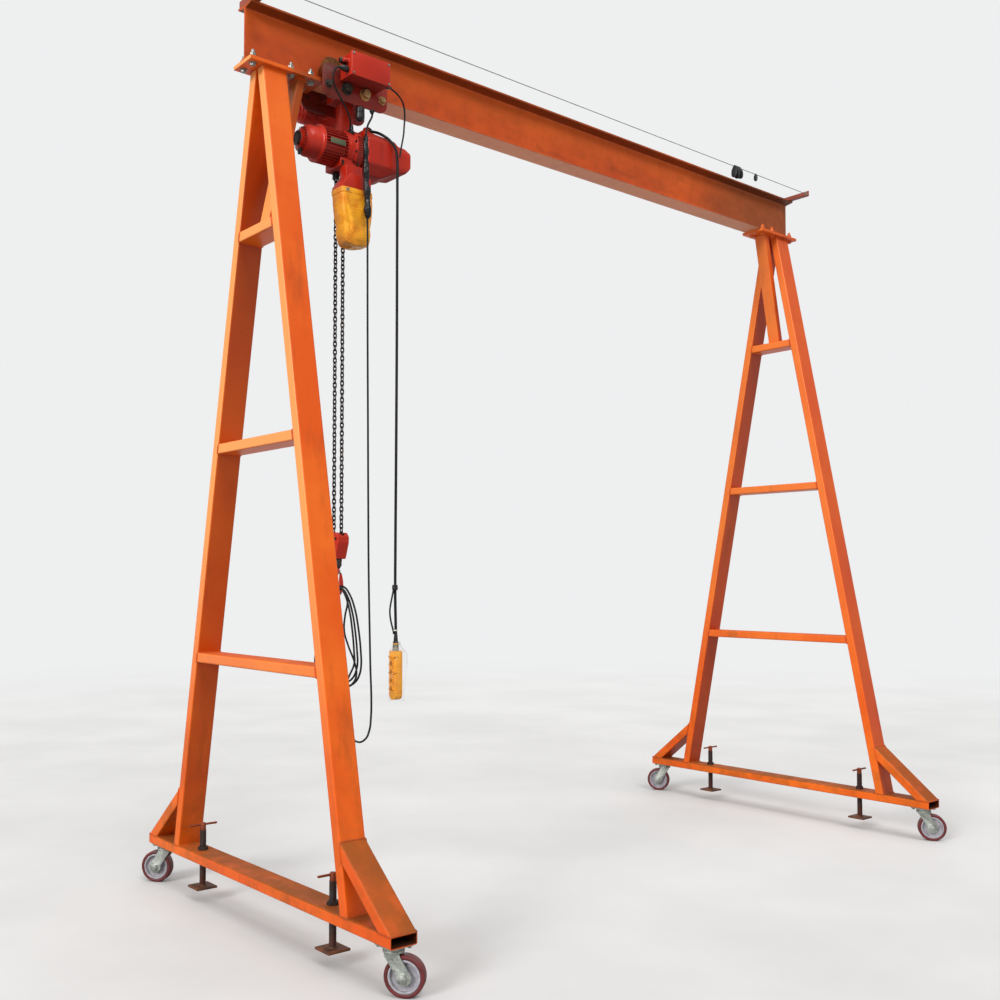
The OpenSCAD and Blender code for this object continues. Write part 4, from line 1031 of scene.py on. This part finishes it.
eased("control_box_shell", "control_box", 0.0045, red, "trolley", steps=3)
piece("control_box_lid", soft_boxes("lid", [((park - 0.087, -0.1925, 3.707),
    (park + 0.124, -0.1800, 3.816), 0.0035)]), red, "trolley")
bolted("control_box_screws", [((park + x, -0.1925, z), (0, -1, 0)) for x in (-0.077, 0.114)
    for z in (3.717, 3.806)], "trolley", zinc, 0.0085, 0.0028, 0.005, 0.006, sides=16)
gland_shape = [(-0.004, 0.0135), (0.004, 0.0140), (0.0045, 0.0118), (0.008, 0.0118), (0.0085, 0.0136),
    (0.024, 0.0136), (0.026, 0.0128), (0.033, 0.0112), (0.038, 0.0070), (0.046, 0.0052)]
piece("box_cable_glands", lathe([
    ((park - 0.084, -0.157, 3.740), (-1, 0, 0), gland_shape),
    ((park - 0.084, -0.140, 3.780), (-1, 0, 0), gland_shape[:8] + [(0.0345, 0.0090), (0.0347, 0.0030)]),
    ((park + 0.121, -0.150, 3.728), (1, 0, 0), [(a * 0.8, r * 0.9) for a, r in gland_shape])], 28),
    black_mould, "trolley")
piece("power_inlet_plug", lathe([
    ((park + 0.031, -0.0850, 3.6250), (0, 0, -1), [(0, 0.0150), (0.003, 0.0190), (0.010, 0.0205),
        (0.026, 0.0205), (0.027, 0.0190), (0.030, 0.0190), (0.031, 0.0212), (0.052, 0.0212),
        (0.055, 0.0190), (0.062, 0.0150), (0.066, 0.0085)]),
    ((park + 0.094, -0.090, 3.6260), (0, 0, -1), [(0, 0.0120), (0.006, 0.0120), (0.007, 0.0100),
        (0.014, 0.0085), (0.0155, 0.0055)])], 28), black_mould, "trolley")


# Hoist: a finned motor with a domed fan cowl, a bolted gear case and a deep cast cover, all red.
# A blank nameplate is riveted on the motor's fins.
dress(red, "hoist_motor")
eased("hoist_fan_cowl", "fan_cowl", 0.0030, red, "trolley", steps=3, corner=25)
eased("hoist_gear_case", "gear_case", 0.0030, red, "trolley", steps=3)


def cast(name, node, grain_size, passes):
    """The node's own solid with every corner rounded off, as a sand casting has them."""
    blank = put(name + "_blank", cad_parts[node].data.copy())
    skin = blank.modifiers.new("cast skin", "REMESH")
    skin.mode = "VOXEL"
    skin.voxel_size = grain_size
    worn = blank.modifiers.new("rounded corners", "SMOOTH")
    worn.factor = 0.5
    worn.iterations = passes
    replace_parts(piece(name, baked(blank), red, "trolley", 60), node)


cast("hoist_cast_cover", "hoist_cover", 0.0036, 26)
eased("chain_guide_hood", "chain_guide", 0.0060, red, "trolley", steps=3)
hoist_z = 3.440
cap_shape = [(0, 0.0300), (0.002, 0.0322), (0.0065, 0.0322), (0.0085, 0.0300), (0.0088, 0.0210),
    (0.0070, 0.0200), (0.0070, 0.0040)]
piece("cowl_end_cap", lathe([((park - 0.2445, 0, hoist_z), (-1, 0, 0), cap_shape)], 40), black_mould,
    "trolley", 30)
piece("cowl_tab", soft_boxes("tab", [((park - 0.243, -0.012, 3.368), (park - 0.229, 0.006, 3.397), 0.0030)]),
    black_mould, "trolley")


def round_axis(along, radius, angle):
    """A point round the hoist's axis."""
    return Vector((park + along, radius * math.cos(angle), hoist_z + radius * math.sin(angle)))


def bars(name, angles, near, far, half_width, rise):
    """Thin bars round the hoist's axis, each from one (along, radius) to the other."""
    shell = bmesh.new()
    for angle in angles:
        start, end = round_axis(*near, angle), round_axis(*far, angle)
        side = Vector((0, -math.sin(angle), math.cos(angle))) * half_width
        out = Vector((rise[0], rise[1] * math.cos(angle), rise[1] * math.sin(angle)))
        low = [shell.verts.new(p) for p in (start - side, start + side, end + side, end - side)]
        skinned(shell, [low, [shell.verts.new(v.co + out) for v in low]])
    return meshed(shell, name, outward=True)


slots = bars("slots", full_turn(22), (-0.2335, 0.0470), (-0.2290, 0.0545), 0.0016, (-0.0024, 0.0010))
piece("cowl_air_slots", slots, black_mould, "trolley", 0)
rib_angles = [math.radians(first + 6.5 * k) for first in (150, -42) for k in range(12)]
ribs = bars("ribs", rib_angles, (0.019, 0.0945), (0.058, 0.0945), 0.0017, (0, 0.0048))
piece("gear_ring_ribs", ribs, greased_red, "trolley", 0)
bolted("gear_ring_screws", [(round_axis(0.012, 0.0915, math.radians(15 + 30 * k)), (-1, 0, 0))
    for k in range(12)], "trolley", greasy, 0.0085, 0.005, 0.005, 0.006)
bolted("gear_foot_screws", [((park + x, -0.062, z), (0, -1, 0)) for x in (-0.046, 0.034)
    for z in (3.352, 3.366)], "trolley", greasy, 0.010, 0.006, 0.006, 0.008)


def plate_metal(name, slot):
    """Brushed aluminium with a plain grey-green field."""
    skin = Finish(name, slot, Metallic=0.3)
    brush = skin.grain(60, 3, 0.6, stretch=(0.6, 1, 40))
    skin.base(skin.band(brush, 0.3, 0.7), "#474f38", "#6c7356")
    skin.feed("Roughness", skin.band(brush, 0.3, 0.7, 0.30, 0.5))
    skin.feed("Normal", skin.relief(brush, 0.0001, 0.4, skin.rounded(0.0004)))
    return skin


plate_front = -0.0862
piece("motor_nameplate", soft_boxes("label", [((park - 0.124, plate_front, 3.4255),
    (park - 0.046, -0.0830, 3.4500), 0.0006)], 2), plate_metal("blank nameplate", "wire"), "trolley", 30)
bolted("nameplate_rivets", [((park + x, plate_front, z), (0, -1, 0)) for x in (-0.1205, -0.0495)
    for z in (3.4290, 3.4465)], "trolley", zinc, 0.0038, 0.0012, 0.002, 0.003, sides=12)
piece("cover_cable_gland", lathe([
    ((park + 0.1060, -0.040, 3.552), (1, 0, 0), [(0, 0.0150), (0.006, 0.0150), (0.007, 0.0130),
        (0.014, 0.0120), (0.020, 0.0085), (0.022, 0.0070)]),
    ((park + 0.005, -0.056, 3.512), (-0.12, -0.35, 1), [(-0.004, 0.0120), (0.006, 0.0115), (0.009, 0.0085),
        (0.020, 0.0062), (0.030, 0.0048)])], 28), black_mould, "trolley")


# Load chain: welded links of 6.3 mm round wire, alternate links turned a quarter. Both falls run
# from the hoist to the hook block, and a black stop closes on the rear one below the hoist.
def chain_metal(name, slot):
    """Case-hardened chain, phosphated black and oiled, rubbed bright where links bear."""
    skin = Finish(name, slot, Metallic=0.75)
    fine = skin.grain(240, 3)
    skin.base(skin.band(fine, 0.35, 0.7), "#1f1e1e", "#45423f")
    skin.coat(skin.band(skin.grain(12, 4), 0.55, 0.75) * 0.4, "#5b4436")
    skin.feed("Roughness", skin.band(fine, 0.3, 0.7, 0.28, 0.5))
    return skin


def link_tree():
    """Geometry Nodes: an oval link at every seed point, turned by the point's own angle."""
    web, ask = tree_with("chain link", "Places",
        {"Wire Diameter": 0.0063, "Bend Radius": 0.00755, "Straight": 0.0102})
    ring = web.node("GeometryNodeCurvePrimitiveCircle", {}, {"Resolution": 12,
        "Radius": ask["Bend Radius"]})
    ring = web.node("GeometryNodeTransform", {}, {"Geometry": ring,
        "Rotation": (math.pi / 2, math.radians(15), 0)})
    at = web.node("GeometryNodeInputPosition")
    high = web.node("ShaderNodeSeparateXYZ", {}, {0: at}, "Z")
    lift = (high > 0.0) * ask["Straight"] - ask["Straight"] * 0.5
    ring = web.node("GeometryNodeSetPosition", {}, {"Geometry": ring,
        "Offset": web.node("ShaderNodeCombineXYZ", {}, {"Z": lift})})
    round_bar = web.node("GeometryNodeCurvePrimitiveCircle", {}, {"Resolution": 6,
        "Radius": ask["Wire Diameter"] * 0.5})
    link = web.node("GeometryNodeCurveToMesh", {}, {"Curve": ring, "Profile Curve": round_bar})
    link = web.node("GeometryNodeSetShadeSmooth", {}, {"Geometry": link})
    angle = web.node("GeometryNodeInputNamedAttribute", {"data_type": "FLOAT"}, {"Name": "quarter"})
    placed = web.node("GeometryNodeInstanceOnPoints", {}, {"Points": ask["Places"], "Instance": link,
        "Rotation": web.node("ShaderNodeCombineXYZ", {}, {"Z": angle})})
    return handed_out(web, placed, ask)


fall_x = park - 0.022
lowest_link, link_rise = 1.6818, 0.018924
falls = bpy.data.meshes.new("falls")
falls.from_pydata([(fall_x, side * 0.030, lowest_link + k * link_rise)
    for side in (-1, 1) for k in range(88)], [], [])
quarter = falls.attributes.new("quarter", "FLOAT", "POINT")
for index, item in enumerate(quarter.data):
    item.value = (index % 2) * math.pi / 2 + 0.10 * math.sin(index * 0.7)
chain = grown("load_chain_links", falls, link_tree(), chain_metal("oiled load chain", "chain_steel"),
    "trolley", {})
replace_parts(chain, "load_chain")
piece("chain_stop", lathe([((fall_x, 0.030, 3.3450), (0, 0, -1), [(0, 0.0160), (0.003, 0.0172),
    (0.012, 0.0172), (0.013, 0.0160), (0.024, 0.0158), (0.025, 0.0170), (0.031, 0.0168),
    (0.034, 0.0140)])], 28), black_mould, "trolley")


# Chain bag: sewn from yellow coated nylon and hung by its hem from the guide, with the slack
# chain's weight in its foot. The cloth creases from its corners and sags out above its base.
def coated_cloth(name, slot):
    """Coated nylon: plain weave under a thin shiny coat, dirty at the foot."""
    skin = Finish(name, slot, IOR=1.46, Specular_IOR_Level=0.40, Sheen_Weight=0.08, Sheen_Roughness=0.5)
    across = skin.node("ShaderNodeUVMap", {"uv_map": "cloth"})
    warp, weft = (skin.node("ShaderNodeMath", {"operation": "SINE"}, {0: skin.axis(across, way) * 3900.0})
        for way in "XY")
    weave = warp * weft
    cloud = skin.grain(14, 4, 0.6)
    grime = skin.grain(30, 5, 0.7)
    foot = skin.band(skin.axis(skin.place, "Z"), 3.02, 2.965)
    skin.base(skin.band(cloud, 0.32, 0.68), "#e48608", "#fdb11a")
    skin.coat(skin.band(weave, -1.0, 1.0) * 0.12, "#a35f06")
    skin.coat(skin.band(grime, 0.60, 0.75) * 0.22, "#8a6420")
    skin.coat(foot * skin.band(grime, 0.35, 0.6) * 0.5, "#7c5a1e")
    skin.feed("Roughness", skin.band(cloud, 0.3, 0.7, 0.25, 0.38))
    skin.feed("Normal", skin.relief(weave, 0.00025, 0.45, skin.relief(skin.grain(45, 4), 0.002, 0.35)))
    return skin


bag_cloth = coated_cloth("yellow coated cloth", "yellow_cloth")
bag_top, bag_foot, bag_middle = 3.219, 2.962, Vector((park - 0.020, -0.095, 0))
bag_tall = bag_top - bag_foot
face_folds = [(-0.94, 0.02, -0.06, 1.00, 0.30, 0.0085), (0.12, 0.00, -0.34, 0.44, 0.20, 0.0060),
    (-0.34, 0.44, 0.50, 0.27, 0.15, 0.0045), (0.92, 0.04, 0.70, 1.00, 0.24, 0.0050),
    (-0.60, 0.60, 0.16, 1.00, 0.10, 0.0048), (0.34, 0.10, 0.40, 0.46, 0.30, -0.0065),
    (0.25, 0.72, 0.62, 0.94, 0.16, 0.0036)]
end_folds = [(-0.80, 0.05, 0.55, 0.80, 0.30, 0.0050), (0.70, 0.00, -0.20, 0.55, 0.22, 0.0042),
    (-0.30, 0.85, 0.50, 0.60, 0.18, 0.0035)]


def folded(across, share, folds):
    """Height of the cloth's straight creases at a point of one face."""
    rise = 0
    for u0, v0, u1, v1, width, height in folds:
        run = Vector((u1 - u0, (v1 - v0) * 1.6))
        gone = Vector((across - u0, (share - v0) * 1.6))
        place = min(1.0, max(0.0, gone.dot(run) / run.length_squared))
        off = (gone - run * place).length / width
        ends = 1 - 0.55 * abs(2 * place - 1) ** 2
        rise += 1.3 * height * ends * max(0.0, 1 - off) ** 1.15
    return rise


def bag_wall(share, angle):
    """A point of the bag: share runs from the hem to the foot, angle round it."""
    reach_x = 0.0800 * (1 - 0.27 * share ** 1.1)
    reach_y = 0.0490 * (1 - 0.20 * share ** 1.4)
    c, s = math.cos(angle), math.sin(angle)
    power = 0.25 + 0.07 * share
    x = math.copysign(abs(c) ** power, c)
    y = math.copysign(abs(s) ** power, s)
    held = min(1.0, share * 9)
    belly = 0.0045 * math.exp(-((share - 0.84) / 0.15) ** 2)
    belly -= 0.0030 * math.sin(math.pi * min(1, share * 1.3))
    slant = noise.noise(Vector((c * 3.4 - share * 4.2, s * 3.4 + share * 2.0, 9.7)))
    crinkle = -0.0022 * (1 - min(1.0, abs(slant) * 6)) ** 2
    wide = folded(x * (1 if s < 0 else -1), share, face_folds) * (1 - x ** 8)
    deep = folded(y, share, end_folds) * (1 - y ** 8)
    out_x = held * (belly * abs(x) + crinkle * abs(x) ** 8 + deep)
    out_y = held * (belly * abs(y) + crinkle * abs(y) ** 8 + wide)
    wider = max(0.0, x) * (0.003 + 0.006 * min(1.0, share * 5))
    return (x * reach_x + math.copysign(out_x, c) + 0.007 * share + wider,
        y * reach_y + math.copysign(out_y, s))


cloth = bmesh.new()
uv = cloth.loops.layers.uv.new("cloth")
around, down = 112, 84
girth, length, seam_v = 0.46, 0.26, 0.29
rows = []
for row in range(down + 1):
    share = row / down
    ring = []
    for angle in full_turn(around):
        x, y = bag_wall(share, angle)
        drop = (bag_tall - 0.020) * share
        sag = 0.010 * (1 - min(1, abs(x - 0.007) / 0.058) ** 2) * share ** 4
        ring.append(cloth.verts.new(bag_middle + Vector((x, y, bag_top - drop - sag))))
    rows.append(ring)
for inset, fall in ((0.96, 0.0040), (0.86, 0.0066), (0.60, 0.0070), (0.34, 0.0072), (0.14, 0.0074)):
    rows.append([cloth.verts.new(Vector((bag_middle.x + (v.co.x - bag_middle.x) * inset,
        bag_middle.y + (v.co.y - bag_middle.y) * inset, v.co.z - fall))) for v in rows[down]])
foot = cloth.verts.new(Vector((bag_middle.x + 0.002, bag_middle.y, bag_foot + 0.0035)))
for index, (low, high) in enumerate(zip(rows, rows[1:])):
    for k in range(around):
        n = (k + 1) % around
        made = cloth.faces.new((low[n], low[k], high[k], high[n]))
        corner_steps = ((k + 1, index), (k, index), (k, index + 1), (k + 1, index + 1))
        for loop, (a, b) in zip(made.loops, corner_steps):
            loop[uv].uv = (a / around * girth, b / down * length)
for k in range(around):
    made = cloth.faces.new((rows[-1][(k + 1) % around], rows[-1][k], foot))
    for loop in made.loops:
        loop[uv].uv = (k / around * girth, seam_v)
blank = put("bag_blank", meshed(cloth, "chain_bag_cloth"))
wall = blank.modifiers.new("cloth thickness", "SOLIDIFY")
wall.thickness = 0.0012
wall.offset = -1
smooth = blank.modifiers.new("soft", "SUBSURF")
smooth.levels = smooth.render_levels = 1
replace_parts(piece("chain_bag_cloth", baked(blank), bag_cloth, "trolley", 70), "chain_bag")


# Bag hem and stitches: the mouth is folded over webbing and sewn twice round, and screwed to the
# guide. The stitches are waxed thread, each 2.6 mm long.
def off_bag(x, y, distance):
    """A step outward from a point of the bag's wall."""
    return Vector((x, y * 1.6, 0)).normalized() * distance


hem = bmesh.new()
hem_uv = hem.loops.layers.uv.new("cloth")
hem_around = 96
hem_rows = []
for inner, z in ((0.0002, 3.2185), (0.0022, 3.2190), (0.0026, 3.2150), (0.0026, 3.1990), (0.0020, 3.1965),
        (0.0002, 3.1970)):
    ring = []
    for angle in full_turn(hem_around):
        x, y = bag_wall(max(0.0, (bag_top - z) / bag_tall), angle)
        ring.append(hem.verts.new(bag_middle + Vector((x, y, z)) + off_bag(x, y, inner)))
    hem_rows.append(ring)
hem_rows.append(hem_rows[0])
for low, high in zip(hem_rows, hem_rows[1:]):
    for k in range(hem_around):
        n = (k + 1) % hem_around
        made = hem.faces.new((low[n], low[k], high[k], high[n]))
        for loop, a in zip(made.loops, (n, k, k, n)):
            loop[hem_uv].uv = (a / hem_around * girth, loop.vert.co.z)
piece("chain_bag_hem", meshed(hem, "hem", outward=True), bag_cloth, "trolley", 50)
thread = moulded("waxed thread", "yellow_cloth", "#e9d9a8", "#c9b070", 0.45)
stitches = []
stitches_around = 112
for z in (3.2130, 3.2010):
    share = (bag_top - z) / bag_tall
    for k in range(stitches_around):
        angle = 2 * math.pi * (k + 0.5) / stitches_around
        x, y = bag_wall(share, angle)
        x2, y2 = bag_wall(share, angle + 0.03)
        flat = Vector((x2 - x, y2 - y, 0)).normalized()
        stitches.append((bag_middle + Vector((x, y, z)) + off_bag(x, y, 0.0028), tuple(flat)))
bolted("chain_bag_stitches", stitches, "trolley", thread, 0.0009, 0.0026, 0.0005, 0.0010, sides=5)
bolted("bag_screws", [(bag_middle + Vector((x, s * 0.0515, 3.2075)), (0, s, 0)) for s in (-1, 1)
    for x in (-0.055, 0.055)], "trolley", zinc, 0.0100, 0.0030, 0.005, 0.008, washer=0.0016, sides=14)


# Hook block: two rounded red cheeks round the chain sheave, closed by a bolt. Below it hang a
# dark swivel nut and a forged red hook with a spring latch.
cast("hook_block_cheeks", "hook_block", 0.0017, 30)
cheek_face = 0.0308
bolted("sheave_bolt", [((fall_x + s * cheek_face, 0, 1.640), (s, 0, 0)) for s in (-1, 1)], "trolley",
    zinc, 0.024, 0.010, 0.014, 0.010, washer=0.003)
bolted("cheek_screws", [((fall_x + s * cheek_face, y, z), (s, 0, 0)) for s in (-1, 1)
    for y, z in ((-0.033, 1.662), (0.033, 1.662), (0.0, 1.592))], "trolley", greasy, 0.010, 0.006,
    0.006, 0.006)
piece("hook_swivel", lathe([((fall_x, 0, 1.5722), (0, 0, -1), [(0, 0.0190), (0.003, 0.0205), (0.012, 0.0205),
    (0.0135, 0.0180), (0.015, 0.0180), (0.016, 0.0195), (0.030, 0.0195), (0.033, 0.0165), (0.041, 0.0135),
    (0.043, 0.0118)])], 32), scale_steel, "trolley")
hook_angle = math.radians(27)
hook_way = Vector((math.cos(hook_angle), math.sin(hook_angle), 0))
hook_side = Vector((-hook_way.y, hook_way.x, 0))
hook_form = [(0, 119, 22), (0, 95, 22), (0, 74, 22), (-8, 58, 24), (-22, 41, 26), (-32, 20, 27), (-34, 0, 28),
    (-29, -18, 29), (-17, -29, 29), (0, -34, 29), (17, -29, 28), (29, -18, 26), (34, 0, 24), (34, 20, 20.5),
    (32, 38, 16), (30, 50, 12), (29, 57, 7)]


def between(points):
    """Points on a smooth curve through the given ones, with any further values beside them."""
    per = 5
    made = []
    for i in range(len(points) - 1):
        a, b = points[max(i - 1, 0)], points[i]
        c, d = points[i + 1], points[min(i + 2, len(points) - 1)]
        for step in range(per):
            t = step / per
            made.append(tuple(0.5 * (2 * q + (r - p) * t + (2 * p - 5 * q + 4 * r - s) * t * t
                + (3 * q - p - 3 * r + s) * t ** 3) for p, q, r, s in zip(a, b, c, d)))
    return made + [tuple(points[-1])]


forged = bmesh.new()
track = between(hook_form)
hook_sides = 20
rings = []
for index, (v, z, d) in enumerate(track):
    a, b = track[max(index - 1, 0)], track[min(index + 1, len(track) - 1)]
    run = Vector((b[0] - a[0], b[1] - a[1])).normalized()
    centre = hook_at + hook_way * (v / 1000) + Vector((0, 0, z / 1000))
    out = hook_way * run.y - Vector((0, 0, run.x))
    flat = 1.0 if index < 10 else 0.90
    rings.append([forged.verts.new(centre + d / 2000 * (math.cos(a) * out * (2 - flat)
        + math.sin(a) * hook_side * flat)) for a in full_turn(hook_sides)])
skinned(forged, rings, capped=False)
forged.faces.new(rings[0][::-1])
nose_v, nose_z = track[-1][:2]
tip = forged.verts.new(hook_at + hook_way * (nose_v - 0.4) / 1000 + Vector((0, 0, (nose_z + 2.6) / 1000)))
for k in range(hook_sides):
    forged.faces.new((rings[-1][k], rings[-1][(k + 1) % hook_sides], tip))
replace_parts(piece("forged_hook", meshed(forged, "hook", outward=True), red, "trolley", 60), "hook")
latch = bmesh.new()
spans = [(-0.002, 0.066, 0.0095, 0.0040), (0.006, 0.063, 0.0090, 0.0045), (0.018, 0.0575, 0.0070, 0.0035),
    (0.0245, 0.0535, 0.0050, 0.0022)]
rings = []
for v, z, half, thick in spans:
    centre = hook_at + hook_way * v + Vector((0, 0, z))
    lift = (Vector((0, 0, 1)) + hook_way * 0.45).normalized() * thick / 2
    rings.append([latch.verts.new(centre + a * half * hook_side + b * lift) for a, b in
        ((-1, -1), (-1, 0.4), (-0.7, 1), (0.7, 1), (1, 0.4), (1, -1))])
skinned(latch, rings)
piece("hook_latch", meshed(latch, "latch", outward=True), zinc, "trolley")
pivot = hook_at + hook_way * -0.001 + Vector((0, 0, 0.0655))
piece("latch_pin", lathe([(tuple(pivot - hook_side * 0.0155), tuple(hook_side), [(0, 0.0030), (0.001, 0.0042),
    (0.003, 0.0042), (0.0032, 0.0026), (0.0278, 0.0026), (0.028, 0.0042), (0.030, 0.0042), (0.031, 0.0030)])],
    16), zinc, "trolley")


# Pendant: a yellow moulded push-button station in two halves, hung on its cable with a black
# strain relief and still in the clear film that it came in.
yellow_mould = moulded("yellow pendant moulding", "yellow_plastic", "#f8ab20", "#ec9716", 0.34)
olive_mould = moulded("olive cable entry", "black_plastic", "#6f6b4c", "#55523b", 0.40)
boot = moulded("button boots", "yellow_plastic", "#b97412", "#96590c", 0.45)
eased("pendant_body", "pendant", 0.0035, yellow_mould, "trolley", steps=3)
pendant_x, pendant_y = park + 0.210, -0.130
lowest_button, button_pitch = 0.990, 0.038
piece("pendant_button_boots", lathe([((pendant_x - 0.0205, pendant_y, lowest_button + k * button_pitch),
    (-1, 0, 0), [(0, 0.0125), (0.0022, 0.0125), (0.0030, 0.0105), (0.0072, 0.0095), (0.0085, 0.0070),
        (0.0090, 0.0030)]) for k in range(4)], 24), boot, "trolley")
guards = [((pendant_x - 0.0270, pendant_y - 0.0205, z - 0.0022),
    (pendant_x - 0.0195, pendant_y + 0.0205, z + 0.0022), 0.0008)
    for z in (0.9850, 1.0185, 1.0565, 1.0945, 1.1290)]
spine = ((pendant_x - 0.0022, pendant_y - 0.0268, 0.9450), (pendant_x + 0.0022, pendant_y + 0.0268, 1.1500),
    0.0009)
piece("pendant_guard_ribs", soft_boxes("ribs", guards + [spine], 2), yellow_mould, "trolley")
gaps = [((pendant_x - 0.0226, pendant_y - 0.0262, z - 0.0013),
    (pendant_x + 0.0040, pendant_y + 0.0262, z + 0.0013), 0.0004) for z in (1.0590, 1.1315)]
piece("pendant_housing_joints", soft_boxes("gaps", gaps, 1), boot, "trolley")
piece("pendant_cable_entry", lathe([((pendant_x, pendant_y, 1.1500), (0, 0, 1), [(0, 0.0150),
    (0.004, 0.0155), (0.022, 0.0148), (0.024, 0.0138), (0.036, 0.0136), (0.040, 0.0124),
    (0.0425, 0.0110)])], 28), olive_mould, "trolley")
relief = [(0, 0.0122), (0.006, 0.0126), (0.007, 0.0105)]
for k in range(5):
    relief += [(0.009 + k * 0.006, 0.0108 - k * 0.0005), (0.0125 + k * 0.006, 0.0106 - k * 0.0005),
        (0.013 + k * 0.006, 0.0088 - k * 0.0003), (0.0145 + k * 0.006, 0.0087 - k * 0.0003)]
relief += [(0.042, 0.0078), (0.050, 0.0070)]
piece("pendant_strain_relief", lathe([((pendant_x, pendant_y, 1.1920), (-0.01, 0, 1), relief)], 24),
    black_mould, "trolley")
strand_run = [(pendant_x - back, pendant_y - out, z) for back, out, z in (
    (0.0150, 0.002, 1.446), (0.0170, 0.003, 1.432), (0.0260, 0.004, 1.396), (0.0350, 0.005, 1.360),
    (0.0375, 0.005, 1.338), (0.0340, 0.004, 1.308), (0.0235, 0.002, 1.272), (0.0150, 0.001, 1.248),
    (0.0120, 0, 1.234))]
strand = routed("pendant_strain_cord", strand_run, 0.008)
tie = moulded("white cable tie", "yellow_plastic", "#d9d7cf", "#bcb9b0", 0.40)
piece("pendant_cable_tie", lathe([((pendant_x - 0.0055, pendant_y - 0.0005, 1.2475), (0, 0, 1),
    [(0, 0.0118), (0.0006, 0.0126), (0.0044, 0.0126), (0.0050, 0.0118)])], 24), tie, "trolley")
piece("pendant_cable_taping", lathe([((pendant_x - 0.0062, pendant_y - 0.001, 1.4320), (-0.02, 0, 1), [
    (0, 0.0112), (0.002, 0.0128), (0.012, 0.0134), (0.013, 0.0129), (0.022, 0.0125), (0.024, 0.0108)])], 24),
    black_tape, "trolley")


def clear_film(name, slot):
    """Thin clear packing film: almost invisible, milky where it is bunched, bright on its pleats."""
    skin = Finish(name, slot, IOR=1.4, Roughness=0.22)
    pleat = skin.grain(16, 3, 0.5, stretch=(3, 3, 0.8), warp=0.6)
    bunched = skin.band(skin.axis(skin.place, "Z"), 1.140, 1.172)
    skin.feed("Base Color", skin.blend(bunched, (0.62, 0.61, 0.58), (0.78, 0.77, 0.73)))
    skin.feed("Alpha", skin.band(pleat, 0.54, 0.70, 0.03, 0.16) + bunched * 0.24)
    skin.feed("Normal", skin.relief(pleat, 0.003, 0.7))
    return skin


film = clear_film("clear packing film", "black_plastic")
film_rows, film_sides, film_top, film_tall = 43, 72, 1.200, 0.268
wrap = bmesh.new()
rows = []
for row in range(film_rows + 1):
    share = row / film_rows
    z = film_top - share * film_tall
    neck = 0.42 + 0.58 * min(1.0, max(0.0, share - 0.05) * 6)
    neck -= 0.10 * math.exp(-((share - 0.07) / 0.035) ** 2)
    ring = []
    for angle in full_turn(film_sides):
        c, s = math.cos(angle), math.sin(angle)
        rough = noise.noise(Vector((c * 1.6, s * 1.6, z * 22)))
        pleat = 0.0022 * math.sin(11 * angle + 5 * rough) * (1.2 - 0.5 * share)
        slack = 0.024 * max(0.0, c) ** 2 * math.sin(math.pi * min(1.0, share * 1.15)) ** 0.6
        x = math.copysign(abs(c) ** 0.7, c) * 0.0315 * neck + (0.0045 * rough + pleat + slack) * c + 0.003
        y = math.copysign(abs(s) ** 0.7, s) * 0.0345 * neck + (0.0060 * rough + pleat) * s
        ring.append(wrap.verts.new((pendant_x + x, pendant_y + y, z + 0.003 * rough)))
    rows.append(ring)
skinned(wrap, rows[::-1], capped=False)
piece("pendant_film", meshed(wrap, "film"), film, "trolley", 80)
